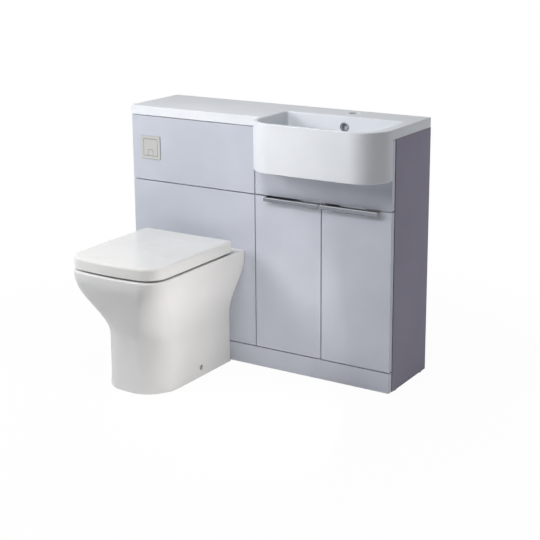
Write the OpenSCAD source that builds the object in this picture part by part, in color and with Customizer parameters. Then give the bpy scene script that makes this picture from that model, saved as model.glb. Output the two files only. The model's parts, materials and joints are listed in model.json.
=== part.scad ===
// Toilet and basin combination unit.
// A cistern unit and a basin unit stand side by side under a worktop that is cast in one
// piece with the basin. A back-to-wall pan stands against the cistern unit.
// X runs along the wall, -Y is the front, Z is up, and the floor is at zero. Each module is
// drawn from the wall, and at_wall() moves it so that the origin is under the middle.

/* [Cabinets] */
// Width of each of the two units
unit_w = 500; // [440:5:600]
// Height from the floor to the underside of the worktop
unit_h = 822; // [800:1:880]
// Depth of the cabinet boards from the wall
carcass_d = 245; // [230:1:300]
// Thickness of the cabinet boards
board_t = 18; // [15:0.5:20]
// Thickness of the doors, panels and plinth
front_t = 18; // [15:0.5:22]
// Gap between neighbouring fronts
front_gap = 3.5; // [2:0.5:5]
// Space between the boards' front edges and the back of the fronts
front_stand = 2; // [1.5:0.1:4]
// Height of the plinth's top edge
plinth_h = 70.5; // [60:0.5:100]
// Height of the upper panel and of the front beside the basin
upper_h = 221.5; // [215:0.5:240]
// Height of the nylon glides under the boards
glide_t = 4; // [2:0.5:8]
// Height of the rails that tie the boards together
rail_h = 80; // [60:1:90]
// Height of the shelf above the cupboard's floor board
shelf_rise = 238; // [180:1:300]

/* [Worktop and basin] */
// Thickness of the worktop
slab_t = 32; // [26:1:40]
// Overhang of the worktop past the fronts
slab_over = 2; // [1:0.5:6]
// Height of the basin from its underside to the worktop
basin_h = 158; // [140:1:164]
// Reach of the basin past the worktop's front edge
basin_out = 104; // [80:1:140]
// Space between the middle of the unit and the basin's left side
basin_left = 20; // [19:0.5:40]
// Radius of the basin's two front corners
basin_corner_r = 98; // [60:1:100]
// Thickness of the basin's walls
basin_wall = 16; // [12:0.5:18]
// Thickness of the basin's floor beside the waste
basin_floor = 22; // [18:1:30]
// Distance from the wall to the bowl's back wall
bowl_back = 116; // [105:1:130]
// Radius of the bowl's two back corners
bowl_corner_r = 8; // [4:1:24]
// Radius of the tap hole
tap_hole_r = 17.5; // [14:0.5:18]
// Distance of the tap hole from the wall
tap_back = 50; // [40:1:60]
// Outer radius of the overflow's ring
overflow_r = 16.5; // [12:0.5:20]

/* [Basin waste] */
// Flat floor between the waste's flange and the sweep up to the bowl's back wall
waste_room = 2; // [0.5:0.5:12]
// Radius of the waste's threaded tail
waste_tail_r = 20.9; // [16:0.1:22]
// Radius of the plug's cap
plug_r = 30; // [26:0.5:34]
// Travel of the plug
plug_travel = 8; // [4:1:12]
// Radius of the bottle trap
trap_r = 30; // [27:1:36]
// Outer radius of the waste pipe
waste_pipe_r = 16; // [14:0.5:20]
// Distance from the basin's underside down to the waste pipe
waste_drop = 106; // [96:1:120]

/* [Doors] */
// Length of the handles
handle_l = 203; // [120:1:215]
// Reach of the handles in front of the doors
handle_out = 18; // [12:1:30]
// Height of the handles' front lip
handle_lip = 13; // [8:1:24]
// Thickness of the handles' metal
handle_t = 2; // [1.5:0.1:3]
// Radius of the hinge cups
cup_r = 17.5; // [13:0.5:17.5]
// Depth of the hinge cups
cup_depth = 11.5; // [9:0.5:12.5]
// Distance of the hinge cups' middle from the door's edge
cup_edge = 22.5; // [21.5:0.5:26]
// Distance of the hinges from the door's top and bottom edges
hinge_inset = 90; // [60:1:120]

/* [Flush plate] */
// Width and height of the flush plate
plate_w = 80; // [76:1:100]
// Distance of the plate's middle from the unit's left side
plate_x = 80; // [66:1:180]
// Height of the plate's middle above the panel's lower edge
plate_rise = 114; // [80:1:130]
// Thickness of the plate in front of the panel
plate_t = 4; // [2:0.5:8]
// Width of the full flush button
full_w = 57; // [48:1:60]
// Width of the half flush button
half_w = 20; // [14:1:24]
// Travel of the buttons
button_travel = 5; // [2:0.5:6]
// Gap round the buttons
button_gap = 0.8; // [0.4:0.1:1.5]

/* [Pan] */
// Place of the pan's middle, measured left from the joint between the units
pan_left = 230; // [215:1:250]
// Height of the pan's rim
rim_z = 402; // [395:1:430]
// Reach of the pan in front of the cabinet
pan_d = 487; // [460:1:520]
// Width of the rim at the front
rim_w = 344; // [335:1:356]
// Width of the rim at the back
rim_back_w = 376; // [364:1:390]
// Width of the foot at the front
foot_w = 240; // [236:1:270]
// Width of the foot at the back
foot_back_w = 248; // [240:1:280]
// How far the foot stands back from the rim at the front
foot_setback = 84; // [60:1:90]
// Height at which the skirt starts to flare
waist_z = 170; // [150:1:180]
// Distance from the rim down to where the flare ends
shoulder_drop = 17; // [14:1:26]
// Radius of the rim's front corners
rim_corner_r = 66; // [50:1:90]
// Radius of the foot's front corners
foot_corner_r = 95; // [70:1:105]
// How far the front bows out in the middle
pan_bow = 8; // [0:1:14]
// Thickness of the ceramic
pan_wall = 11; // [9:0.5:12]
// Height of the soil outlet above the floor
soil_z = 180; // [170:1:185]
// Distance from the rim down to the flush inlet
inlet_drop = 60; // [54:1:68]

/* [Seat] */
// Overhang of the lid past the rim at the front corners
lid_over = 2; // [0:0.5:6]
// How far the lid's back corners stand in from the rim's
lid_in = 10; // [4:0.5:14]
// Distance from the cabinet's front to the lid
lid_back = 57; // [54:1:70]
// Gap between the rim and the lid
lid_gap = 6; // [5:0.5:7]
// Height of the lid's side
lid_h = 39; // [36:0.5:44]
// Thickness of the lid
lid_t = 4.5; // [3:0.5:5]
// Thickness of the seat ring
seat_t = 16; // [12:0.5:17]
// Distance between the two seat hinges
hinge_span = 155; // [130:1:170]

/* [Cistern] */
// Width of the cistern
tank_w = 380; // [320:5:400]
// Depth of the cistern
tank_d = 140; // [120:1:150]
// Space between the cistern and the worktop
tank_space = 72; // [64:1:110]
// Height of the cistern's underside above the flush inlet
tank_rise = 108; // [98:1:118]
// Thickness of the cistern's walls
tank_wall = 4; // [3:0.5:6]
// Outer radius of the flush pipe
flush_pipe_r = 22; // [18:0.5:24]
// Outer radius of the soil pipe
soil_r = 55; // [50:0.5:56]

/* [Hidden] */

// Heights and depths, measured from the floor and the wall
front_y = -(carcass_d + front_stand + front_t);
fronts_back = front_y + front_t;
edge_y = -carcass_d;
top_z = unit_h + slab_t;
door_z = plinth_h + front_gap;
top_gap = 2;
panel_top = unit_h - top_gap;
upper_z = panel_top - upper_h;
door_top = upper_z - front_gap;
slab_front = front_y - slab_over;
basin_front = slab_front - basin_out;
basin_z = top_z - basin_h;
shell_play = 2;

// Pan and seat
pan_x = -pan_left;
shoulder_z = rim_z - shoulder_drop;
inlet_z = rim_z - inlet_drop;
lid_w = rim_w + 2 * lid_over;
lid_back_w = rim_back_w - 2 * lid_in;
rim_front = front_y - pan_d;
lid_rear = front_y - lid_back;
lid_z = rim_z + lid_gap;
lid_top = lid_z + lid_h;
lid_bow = 16;
hinge_back = 15;
hinge_rise = 20;
hinge_y = lid_rear - hinge_back;
hinge_z = rim_z + hinge_rise;
pin_r = 4;
running = 0.1;
reach = max(-rim_front, -basin_front);

// Cupboard fittings
hinge_zs = [door_z + hinge_inset, door_top - hinge_inset];
bolt_in = 45;
bolt_rise = 186;
bolt_drop = 182;
bolt_zs = [door_z + bolt_rise, unit_h - bolt_drop];
bolt_ys = [-carcass_d + bolt_in, -bolt_in];
bolt_r = 2.5;
bolt_hole_r = 2.75;
bolt_head_r = 8;
bolt_head_t = 2;
shelf_z = door_z + board_t + shelf_rise;
rail_y = edge_y + board_t;
rail_floor = 30;
rail_space = 62;
batten_l = 90;
top_rail_w = 70;
floor_back = 30;

// Basin
basin_r = min(basin_corner_r, basin_out);
body_x0 = max(basin_left, board_t + shell_play);
body_x1 = unit_w - board_t - shell_play;
bowl_x0 = basin_left + basin_wall;
bowl_x1 = body_x1 - basin_wall;
waste_x = (bowl_x0 + bowl_x1) / 2;
bowl_fillet = 34;
flange_r = plug_r + 3;
waste_y = -bowl_back - bowl_fillet - flange_r - waste_room;
waste_pipe_z = basin_z - waste_drop;
bowl_z = basin_z + basin_floor;
waste_nut_t = 8;
waste_tail_l = 56;
overflow_drop = 36;
nut_z = basin_z - waste_nut_t;
tail_z = basin_z - waste_tail_l;
overflow_z = top_z - overflow_drop;

// Flush plate
plate_cx = -unit_w + plate_x;
plate_cz = upper_z + plate_rise;
frame_in = full_w + 2 * button_gap;
housing_wall = 4;
housing_w = frame_in + 2 * housing_wall;
half_z = plate_cz - full_w / 2 + half_w / 2;
press_z = plate_cz + full_w / 4;
housing_out = 16;
housing_back = fronts_back + housing_out;
guide_out = 14;

// Cistern
tank_back = 20;
tank_y = -tank_back - tank_d;
valve_y = -tank_back - tank_d / 2;
valve_x = pan_x;
tank_x = -unit_w / 2;
inlet_in = 60;
inlet_x = tank_x + tank_w / 2 - inlet_in;
tank_z = inlet_z + tank_rise;
tank_top = unit_h - tank_space;
tank_h = tank_top - tank_z;
pipe_bend = 2.5 * flush_pipe_r;
pipe_in = 30;
pipe_end = front_y - pipe_in;

module at_wall() translate([0, reach / 2, 0]) children();
module at(x, y, z) translate([x, y, z]) children();
// A board given by two opposite corners
module board(a, b) translate(a) cube(b - a);
// Round bar from a point, along x, y or z
module bar_x(p, r, l) translate(p) rotate([0, 90, 0]) cylinder(r = r, h = l, $fn = 48);
module bar_y(p, r, l) translate(p) rotate([-90, 0, 0]) cylinder(r = r, h = l, $fn = 48);
module bar_z(p, r, l) translate(p) cylinder(r = r, h = l, $fn = 64);
// Round tube from a point, along y or z
module tube_y(p, r, inner, l) difference() {
  bar_y(p, r, l);
  bar_y(p - [0, 1, 0], inner, l + 2);
}
module tube_z(p, r, inner, l) difference() {
  bar_z(p, r, l);
  bar_z(p - [0, 0, 1], inner, l + 2);
}
// Upright block with rounded corners, given by two opposite corners of its plan
module round_block(a, b, r, z0, z1) translate([0, 0, z0]) linear_extrude(z1 - z0) union() {
  translate([a.x + r, a.y]) square([b.x - a.x - 2 * r, b.y - a.y]);
  translate([a.x, a.y + r]) square([b.x - a.x, b.y - a.y - 2 * r]);
  for (x = [a.x + r, b.x - r], y = [a.y + r, b.y - r]) translate([x, y]) circle(r, $fn = 48);
}

// Outlines for lofts. A section is [front half width, back half width, back y, front y,
// back corner radius, front corner radius, bow of the front].
arc_n = 6;
side_n = 4;
front_n = 6;
function arc(c, r, a) = [for (i = [0:arc_n]) c + r * [cos(a + 90 * i / arc_n), sin(a + 90 * i / arc_n)]];
function between(p, q, n) = [for (i = [1:n - 1]) p + (q - p) * i / n];
function box_outline(w, yb, yf, rb, rf) = concat(
  arc([w - rf, yf + rf], rf, -90),
  between([w, yf + rf], [w, yb - rb], side_n),
  arc([w - rb, yb - rb], rb, 0),
  between([w - rb, yb], [rb - w, yb], side_n),
  arc([rb - w, yb - rb], rb, 90),
  between([-w, yb - rb], [-w, yf + rf], side_n),
  arc([rf - w, yf + rf], rf, 180),
  between([rf - w, yf], [w - rf, yf], front_n));
function outline(s) = let (mid = (s[2] + s[3]) / 2, half = (s[2] - s[3]) / 2)
  [for (p = box_outline(s[0], s[2], s[3], s[4], s[5]))
    [p.x * (1 + (s[1] / s[0] - 1) * (p.y - s[3]) / (s[2] - s[3])),
     p.y - s[6] * (1 - pow(p.x / s[0], 2)) * max(0, mid - p.y) / half]];
function ring(s, z) = [for (p = outline(s)) [p.x, p.y, z]];
function mix(a, b, t) = a + (b - a) * t;
function ease(t) = let (u = min(1, max(0, t))) u * u * (3 - 2 * u);
// A section drawn in by d on every side
function inset(s, d) = [s[0] - d, s[1] - d, s[2] - d, s[3] + d, max(2, s[4] - d), max(2, s[5] - d), s[6]];
// A section drawn in by d on the sides and front, with its back left where it is
function inset_front(s, d) = [s[0] - d, s[1] - d, s[2], s[3] + d, s[4], max(2, s[5] - d), s[6]];

// Solid through a list of rings, closed by a fan at each end, or joined end to start
module loft(rings, closed = false) {
  n = len(rings[0]);
  m = len(rings);
  steps = closed ? m : m - 1;
  sides = [for (i = [0:steps - 1], j = [0:n - 1]) let (k = (j + 1) % n, u = ((i + 1) % m) * n)
    each [[i * n + j, u + j, u + k], [i * n + j, u + k, i * n + k]]];
  fans = closed ? [] : [for (j = [0:n - 1]) let (k = (j + 1) % n)
    each [[m * n, j, k], [m * n + 1, (m - 1) * n + k, (m - 1) * n + j]]];
  centres = closed ? [] : [for (r = [rings[0], rings[m - 1]]) (r[0] + r[floor(n / 2)]) / 2];
  polyhedron(points = concat([for (r = rings) each r], centres), faces = concat(sides, fans), convexity = 6);
}

// ---- Cistern unit ----

module unit_board(x) difference() {
  board([x, edge_y, glide_t], [x + board_t, 0, unit_h]);
  if (abs(x + board_t / 2) < board_t)
    for (y = bolt_ys, z = bolt_zs) bar_x([x - 1, y, z], bolt_hole_r, board_t + 2);
}
module wc_side_left() color("gainsboro") at_wall() unit_board(-unit_w);
module wc_side_right() color("gainsboro") at_wall() unit_board(-board_t);

// Rails between two boards: two at the wall and one behind the plinth
module rails(x0, x1) {
  for (z = [rail_floor, unit_h - rail_space - rail_h]) board([x0, -board_t, z], [x1, 0, z + rail_h]);
  board([x0, edge_y, glide_t], [x1, rail_y, plinth_h - 4]);
}

// The cistern unit also has a rail behind the joint of its panels, and a flat one on top
module wc_rails() color("gainsboro") at_wall() {
  rails(-unit_w + board_t, -board_t);
  board([-unit_w + board_t, edge_y, upper_z - rail_h / 2], [-board_t, rail_y, upper_z + rail_h / 2]);
  board([-unit_w + board_t, edge_y, unit_h - board_t], [-board_t, edge_y + top_rail_w, unit_h]);
}

module front(x0, x1, z0, z1) board([x0, front_y, z0], [x1, fronts_back, z1]);

module upper_panel() color("lightsteelblue") at_wall() difference() {
  front(-unit_w + front_gap / 2, -front_gap / 2, upper_z, panel_top);
  at(plate_cx, front_y, plate_cz) cube([housing_w + 1, 3 * front_t, housing_w + 1], center = true);
}

module lower_panel() color("lightsteelblue") at_wall() difference() {
  front(-unit_w + front_gap / 2, -front_gap / 2, door_z, door_top);
  bar_y([pan_x, front_y - 1, soil_z], soil_r + 9, front_t + 2);
  bar_y([pan_x, front_y - 1, inlet_z], flush_pipe_r + 6, front_t + 2);
}

// ---- Basin unit ----

module vanity_side_left() color("gainsboro") at_wall() unit_board(0);
module vanity_side_right() color("gainsboro") at_wall() unit_board(unit_w - board_t);

// The basin unit has a short batten at each side instead, clear of the trap, for its front
module vanity_rails() color("gainsboro") at_wall() {
  rails(board_t, unit_w - board_t);
  for (x = [board_t, unit_w - board_t - batten_l])
    board([x, edge_y, upper_z + 2], [x + batten_l, rail_y, basin_z - 6]);
}

module vanity_base() color("gainsboro") at_wall()
  board([board_t, edge_y, door_z], [unit_w - board_t, -floor_back, door_z + board_t]);

shelf_front = 20;
module shelf() color("gainsboro") at_wall()
  board([board_t + 1, edge_y + shelf_front, shelf_z],
    [unit_w - board_t - 1, -floor_back, shelf_z + board_t]);

peg_r = 2.5;
peg_l = 9;
peg_in = 30;
module shelf_pegs() color("silver") at_wall()
  for (y = [edge_y + shelf_front + peg_in, -floor_back - peg_in], s = [0, 1]) {
    x = s == 0 ? board_t : unit_w - board_t - peg_l;
    bar_x([x, y, shelf_z - peg_r], peg_r, peg_l);
  }

module fascia() color("lightsteelblue") at_wall() difference() {
  front(front_gap / 2, unit_w - front_gap / 2, upper_z, panel_top);
  board([body_x0 - shell_play, front_y - 1, basin_z - shell_play],
    [body_x1 + shell_play, fronts_back + 1, panel_top + 1]);
}

module plinth() color("lightsteelblue") at_wall()
  front(-unit_w + front_gap / 2, unit_w - front_gap / 2, glide_t, plinth_h);

// Hard pads that hold the fixed fronts off the boards' edges
board_xs = [-unit_w + board_t / 2, -board_t / 2, board_t / 2, unit_w - board_t / 2];
pad_r = 6;
pad_in = 30;
pad_drop = 12;
low_pad_in = 60;
module front_pads() color("white") at_wall()
  for (x = board_xs,
       z = x < 0 ? [plinth_h - pad_drop, door_z + low_pad_in, door_top - low_pad_in,
                    upper_z + pad_in, panel_top - pad_in]
                 : [plinth_h - pad_drop, upper_z + pad_in])
    bar_y([x, edge_y - front_stand, z], pad_r, front_stand);

glide_r = 8;
glide_in = 30;
module glides() color("dimgray") at_wall()
  for (x = board_xs, y = [edge_y + glide_in, -glide_in]) bar_z([x, y, 0], glide_r, glide_t);

module joining_bolts() color("silver") at_wall()
  for (y = bolt_ys, z = bolt_zs) {
    bar_x([-board_t - bolt_head_t, y, z], bolt_r, 2 * (board_t + bolt_head_t));
    for (x = [-board_t - bolt_head_t, board_t]) bar_x([x, y, z], bolt_head_r, bolt_head_t);
  }

bracket_leg = 32;
bracket_h = 30;
bracket_t = 2;
bracket_drop = 58;
bracket_z = unit_h - bracket_drop;
bracket_hole_r = 2.75;
bracket_in = 20;
// One angle bracket in the corner between a board and the wall, reaching along side s
module bracket(x, s) {
  x1 = x + s * bracket_leg;
  difference() {
    union() {
      board([min(x, x1), -bracket_t, bracket_z], [max(x, x1), 0, bracket_z + bracket_h]);
      board([min(x, x + s * bracket_t), -bracket_leg, bracket_z],
        [max(x, x + s * bracket_t), 0, bracket_z + bracket_h]);
    }
    bar_y([x + s * bracket_in, -bracket_t - 1, bracket_z + bracket_h / 2], bracket_hole_r, bracket_t + 2);
    bar_x([min(x, x + s * bracket_t) - 1, -bracket_in, bracket_z + bracket_h / 2],
      bracket_hole_r, bracket_t + 2);
  }
}
module wall_brackets() color("silver") at_wall() {
  bracket(-unit_w + board_t, 1);
  bracket(-board_t, -1);
  bracket(board_t, 1);
  bracket(unit_w - board_t, -1);
}

// ---- Worktop and basin, cast in one piece ----

bowl_top = [(bowl_x1 - bowl_x0) / 2, (bowl_x1 - bowl_x0) / 2, -bowl_back,
  basin_front + basin_wall, bowl_corner_r, basin_r - basin_wall, 0];
bowl_lean = 12;
bowl_low = inset_front(bowl_top, bowl_lean);
bowl_edge = 5;
// The floor sweeps up into walls that lean out a little, and the rim's edge is rounded
bowl_rings = concat(
  [for (a = [90:-15:0]) ring(mix(bowl_low, inset(bowl_low, bowl_fillet), 1 - cos(a)),
    bowl_z + bowl_fillet * (1 - sin(a)))],
  [for (a = [0:22.5:90]) ring(inset(bowl_top, bowl_edge * (cos(a) - 1)), top_z - bowl_edge * (1 - sin(a)))],
  [ring(inset(bowl_top, -bowl_edge), top_z + 1)]);

module basin_outside() {
  // The part in front of the fronts, with its two round corners
  translate([0, 0, basin_z]) linear_extrude(basin_h) intersection() {
    union() {
      translate([basin_left, basin_front + basin_r])
        square([unit_w - basin_left, slab_front - basin_front - basin_r + 1]);
      translate([basin_left + basin_r, basin_front])
        square([unit_w - basin_left - 2 * basin_r, slab_front - basin_front + 1]);
      for (x = [basin_left + basin_r, unit_w - basin_r])
        translate([x, basin_front + basin_r]) circle(basin_r, $fn = 96);
    }
    translate([basin_left, basin_front]) square([unit_w, slab_front - basin_front]);
  }
  // The part between the basin unit's boards
  board([body_x0, slab_front - 1, basin_z], [body_x1, -bowl_back + basin_wall, top_z - 1]);
}

hollow_in = 20;
hollow_roof = 14;
module basin_worktop() color("white") at_wall() difference() {
  union() {
    board([-unit_w, slab_front, unit_h], [unit_w, 0, top_z]);
    basin_outside();
  }
  at(waste_x, 0, 0) loft(bowl_rings);
  bar_z([unit_w / 2, -tap_back, unit_h - 1], tap_hole_r, slab_t + 2);
  bar_z([waste_x, waste_y, basin_z - 1], waste_tail_r + 0.3, basin_floor + 3);
  bar_y([waste_x, -bowl_back - 1, overflow_z], overflow_r - 4, 13);
  // The worktop is hollow below, with a lip that stands on the boards
  board([-unit_w + board_t + shell_play, slab_front + hollow_in, unit_h - 1],
    [-board_t - shell_play, -hollow_in, top_z - hollow_roof]);
}

module overflow_ring() color("silver") at_wall() translate([waste_x, -bowl_back - 2.4, overflow_z])
  rotate([-90, 0, 0]) rotate_extrude($fn = 64)
    polygon([[overflow_r - 6, 0], [overflow_r - 1.5, 0], [overflow_r, 1.5], [overflow_r, 2.4],
      [overflow_r - 4.1, 2.4], [overflow_r - 4.1, 13], [overflow_r - 6, 13]]);

waste_wall = 3;
flange_t = 2;
// The cross in the waste that guides the plug's stem
cross_t = 4;
cross_h = 8;
cross_z = bowl_z - 24;
guide_r = 7;
guide_l = 14;
guide_z = bowl_z - 28;
module waste_body() color("silver") at_wall() at(waste_x, waste_y, 0) {
  tube_z([0, 0, tail_z], waste_tail_r, waste_tail_r - waste_wall, bowl_z - tail_z + 1);
  tube_z([0, 0, bowl_z], flange_r, waste_tail_r - waste_wall, flange_t);
  difference() {
    union() {
      for (a = [0, 90]) rotate(a)
        board([2 - waste_tail_r, -cross_t / 2, cross_z],
          [waste_tail_r - 2, cross_t / 2, cross_z + cross_h]);
      bar_z([0, 0, guide_z], guide_r, guide_l);
    }
    bar_z([0, 0, guide_z - 2], pin_r + running, guide_l + 6);
  }
}

waste_nut_w = 11;
module waste_nut() color("gray") at_wall()
  tube_z([waste_x, waste_y, nut_z], waste_tail_r + waste_nut_w, waste_tail_r, waste_nut_t);

module waste_plug() color("silver") at_wall() translate([waste_x, waste_y, bowl_z]) rotate_extrude($fn = 96)
  polygon([[0, -26], [pin_r, -26], [pin_r, 2.2], [plug_r, 2.2], [plug_r, 4], [plug_r - 4, 6.5], [0, 8]]);

trap_nut_t = 7;
trap_nut_h = 28;
trap_nut_drop = 10;
module trap_nut() color("whitesmoke") at_wall()
  tube_z([waste_x, waste_y, tail_z - trap_nut_drop], waste_tail_r + trap_nut_t, waste_tail_r, trap_nut_h);

trap_nut_l = 24;
nut_front = waste_y + trap_r + 12;
trap_wall = 4;
cup_z = waste_pipe_z - 20;
// Upper part of the trap, with the inlet neck and the outlet's socket and nut
module bottle_trap() color("whitesmoke") at_wall() difference() {
  union() {
    bar_z([waste_x, waste_y, waste_pipe_z + 20], waste_tail_r, tail_z - waste_pipe_z - 20);
    translate([waste_x, waste_y, cup_z]) rotate_extrude($fn = 64)
      polygon([[0, 0], [trap_r, 0], [trap_r, 26], [trap_r - 8, 42], [0, 42]]);
    bar_y([waste_x, waste_y, waste_pipe_z], waste_pipe_r + 2, trap_r + 34);
    bar_y([waste_x, nut_front, waste_pipe_z], waste_pipe_r + trap_nut_t, trap_nut_l);
  }
  bar_z([waste_x, waste_y, cup_z - 1], waste_tail_r - trap_wall, tail_z - cup_z + 2);
  bar_y([waste_x, waste_y, waste_pipe_z], waste_pipe_r - 2, trap_r + 40);
  bar_y([waste_x, waste_y + trap_r + 10, waste_pipe_z], waste_pipe_r, 60);
}
// Cup that screws on below and comes off for cleaning
module trap_cup() color("whitesmoke") at_wall() translate([waste_x, waste_y, cup_z]) rotate_extrude($fn = 64)
  polygon([[0, -50], [trap_r - 8, -50], [trap_r - 2, -46], [trap_r, -40], [trap_r, 0],
    [trap_r - trap_wall, 0], [trap_r - trap_wall, -40], [trap_r - 8, -46], [0, -46]]);

// Its end is drawn in where it sits in the trap's nut
module waste_pipe() color("whitesmoke") at_wall() at(waste_x, 0, waste_pipe_z) difference() {
  union() {
    bar_y([0, nut_front, 0], waste_pipe_r - 0.2, trap_nut_l + 1);
    bar_y([0, nut_front + trap_nut_l, 0], waste_pipe_r, -nut_front - trap_nut_l);
  }
  bar_y([0, nut_front - 1, 0], waste_pipe_r - 2, 2 - nut_front);
}

// ---- Doors ----

door_w = unit_w / 2 - front_gap;
left_x = front_gap / 2;
right_x = unit_w / 2 + front_gap / 2;
handle_gap = 2;
left_handle_x = left_x + door_w - handle_gap - handle_l;
right_handle_x = right_x + handle_gap;

module door(x, hinge_x, handle_x) difference() {
  front(x, x + door_w, door_z, door_top);
  board([handle_x, front_y - 1, door_top - handle_t], [handle_x + handle_l, fronts_back + 1, door_top + 1]);
  for (z = hinge_zs) bar_y([hinge_x, fronts_back - cup_depth - 0.1, z], cup_r + 0.1, cup_depth + 1);
}
module door_left() color("lightsteelblue") at_wall() door(left_x, left_x + cup_edge, left_handle_x);
module door_right() color("lightsteelblue") at_wall()
  door(right_x, right_x + door_w - cup_edge, right_handle_x);

// Edge pull: a strip over the door's top edge, with a lip in front and a leg behind
handle_leg_t = 1.6;
handle_leg = 16;
module handle(x) translate([x, 0, 0]) rotate([90, 0, 90]) linear_extrude(handle_l)
  polygon([[front_y - handle_out, door_top], [fronts_back + handle_leg_t, door_top],
    [fronts_back + handle_leg_t, door_top - handle_leg], [fronts_back, door_top - handle_leg],
    [fronts_back, door_top - handle_t], [front_y - handle_out + handle_t, door_top - handle_t],
    [front_y - handle_out + handle_t, door_top - handle_lip],
    [front_y - handle_out, door_top - handle_lip]]);
module handle_left() color("silver") at_wall() handle(left_handle_x);
module handle_right() color("silver") at_wall() handle(right_handle_x);

// Hollow cup let into the door, with a flange that its two screws go through
cup_wall = 1.5;
cup_flange_t = 1.2;
cup_flange_l = 60;
cup_flange_r = 8;
module hinge_cup(x) for (z = hinge_zs) difference() {
  union() {
    bar_y([x, fronts_back - cup_depth, z], cup_r, cup_depth);
    round_flange(x, z);
  }
  bar_y([x, fronts_back - cup_depth + cup_wall, z], cup_r - cup_wall, cup_depth + 2);
}
module round_flange(x, z) translate([x, fronts_back, z]) rotate([90, 0, 0])
  translate([0, 0, -cup_flange_t])
  round_block([-cup_r, -cup_flange_l / 2], [cup_r, cup_flange_l / 2], cup_flange_r, 0, cup_flange_t);
module hinge_cups_left() color("silver") at_wall() hinge_cup(left_x + cup_edge);
module hinge_cups_right() color("silver") at_wall() hinge_cup(right_x + door_w - cup_edge);

// Mounting plate on the board, and the arm that reaches to the front edge
mount_t = 3;
mount_h = 52;
mount_front = 20;
mount_w = 36;
arm_w = 16;
arm_t = 13;
arm_l = 50;
arm_wall = 3;
module hinge_arm() for (z = hinge_zs) {
  board([0, edge_y + mount_front, z - mount_h / 2],
    [mount_t, edge_y + mount_front + mount_w, z + mount_h / 2]);
  difference() {
    board([mount_t, edge_y + 0.6, z - arm_w / 2], [mount_t + arm_t, edge_y + arm_l, z + arm_w / 2]);
    board([mount_t + 2 * arm_wall, edge_y - 1, z - arm_w / 2 + arm_wall],
      [mount_t + arm_t + 4, edge_y + arm_l - 16, z + arm_w / 2 - arm_wall]);
  }
}
module hinge_arms_left() color("silver") at_wall() at(board_t, 0, 0) hinge_arm();
module hinge_arms_right() color("silver") at_wall() at(unit_w - board_t, 0, 0) mirror([1, 0, 0]) hinge_arm();

// ---- Flush plate ----

module flush_plate() color("silver") at_wall() difference() {
  at(plate_cx, front_y - plate_t / 2, plate_cz) cube([plate_w, plate_t, plate_w], center = true);
  at(plate_cx, front_y, plate_cz) cube([frame_in, 3 * plate_t, frame_in], center = true);
}

// Open box behind the plate, with a guide for each button's rod
module button_housing() color("dimgray") at_wall() difference() {
  union() {
    board([plate_cx - housing_w / 2, front_y, plate_cz - housing_w / 2],
      [plate_cx + housing_w / 2, housing_back, plate_cz + housing_w / 2]);
    for (z = [half_z, press_z]) bar_y([plate_cx, housing_back, z], guide_r, guide_out);
  }
  board([plate_cx - frame_in / 2, front_y - 1, plate_cz - frame_in / 2],
    [plate_cx + frame_in / 2, housing_back - 3, plate_cz + frame_in / 2]);
  for (z = [half_z, press_z]) bar_y([plate_cx, housing_back - 4, z], pin_r + running, guide_out + 2);
}

button_out = 2;
button_t = 6;
button_face = front_y - plate_t - button_out;
rod_end = housing_back + 10 - button_travel;
module rod(z) bar_y([plate_cx, button_face + 2, z], pin_r, rod_end - button_face - 2);
module half_button() color("whitesmoke") at_wall() {
  board([plate_cx - half_w / 2, button_face, half_z - half_w / 2],
    [plate_cx + half_w / 2, button_face + button_t, half_z + half_w / 2]);
  rod(half_z);
}
module full_button() color("silver") at_wall() {
  difference() {
    board([plate_cx - full_w / 2, button_face, plate_cz - full_w / 2],
      [plate_cx + full_w / 2, button_face + button_t, plate_cz + full_w / 2]);
    board([plate_cx - half_w / 2 - button_gap, button_face - 1, plate_cz - full_w],
      [plate_cx + half_w / 2 + button_gap, button_face + button_t + 1, half_z + half_w / 2 + button_gap]);
  }
  rod(press_z);
}

// ---- Cistern ----

tank_lid_t = 4;
tank_lid_over = 3;
tank_corner_r = 20;
stub_r = 5;
stub_l = 6;
lid_edge_z = tank_top + tank_lid_t;
module cistern_tank() color("whitesmoke") at_wall() difference() {
  round_block([tank_x - tank_w / 2, tank_y], [tank_x + tank_w / 2, -tank_back],
    tank_corner_r, tank_z, tank_top);
  round_block([tank_x - tank_w / 2 + tank_wall, tank_y + tank_wall],
    [tank_x + tank_w / 2 - tank_wall, -tank_back - tank_wall],
    tank_corner_r - tank_wall, tank_z + tank_wall, tank_top + 1);
  bar_z([valve_x, valve_y, tank_z - 1], valve_tail_r + 0.2, tank_wall + 2);
  bar_z([inlet_x, valve_y, tank_z - 1], thread_r + 0.1, tank_wall + 2);
}
module cistern_lid() color("white") at_wall() {
  round_block([tank_x - tank_w / 2 - tank_lid_over, tank_y - tank_lid_over],
    [tank_x + tank_w / 2 + tank_lid_over, -tank_back], tank_corner_r + 2, tank_top, lid_edge_z);
  for (x = hose_xs) bar_z([x, valve_y, lid_edge_z], stub_r, stub_l);
}

valve_base = tank_z + tank_wall;
cage_drop = 106;
water_drop = 186;
cage_top = tank_top - cage_drop;
water_z = tank_top - water_drop;
cage_r = 34;
cage_base_t = 8;
cage_ring_t = 10;
cage_leg = 6;
valve_tail_r = 20;
valve_tail_l = 20;
valve_bore_r = 17;
column_r = 11;
inlet_r = 10.4;
inlet_l = 38;
inlet_thread_l = 8;
inlet_flange_r = 18;
inlet_flange_t = 6;
thread_r = inlet_r + 0.2;
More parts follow.
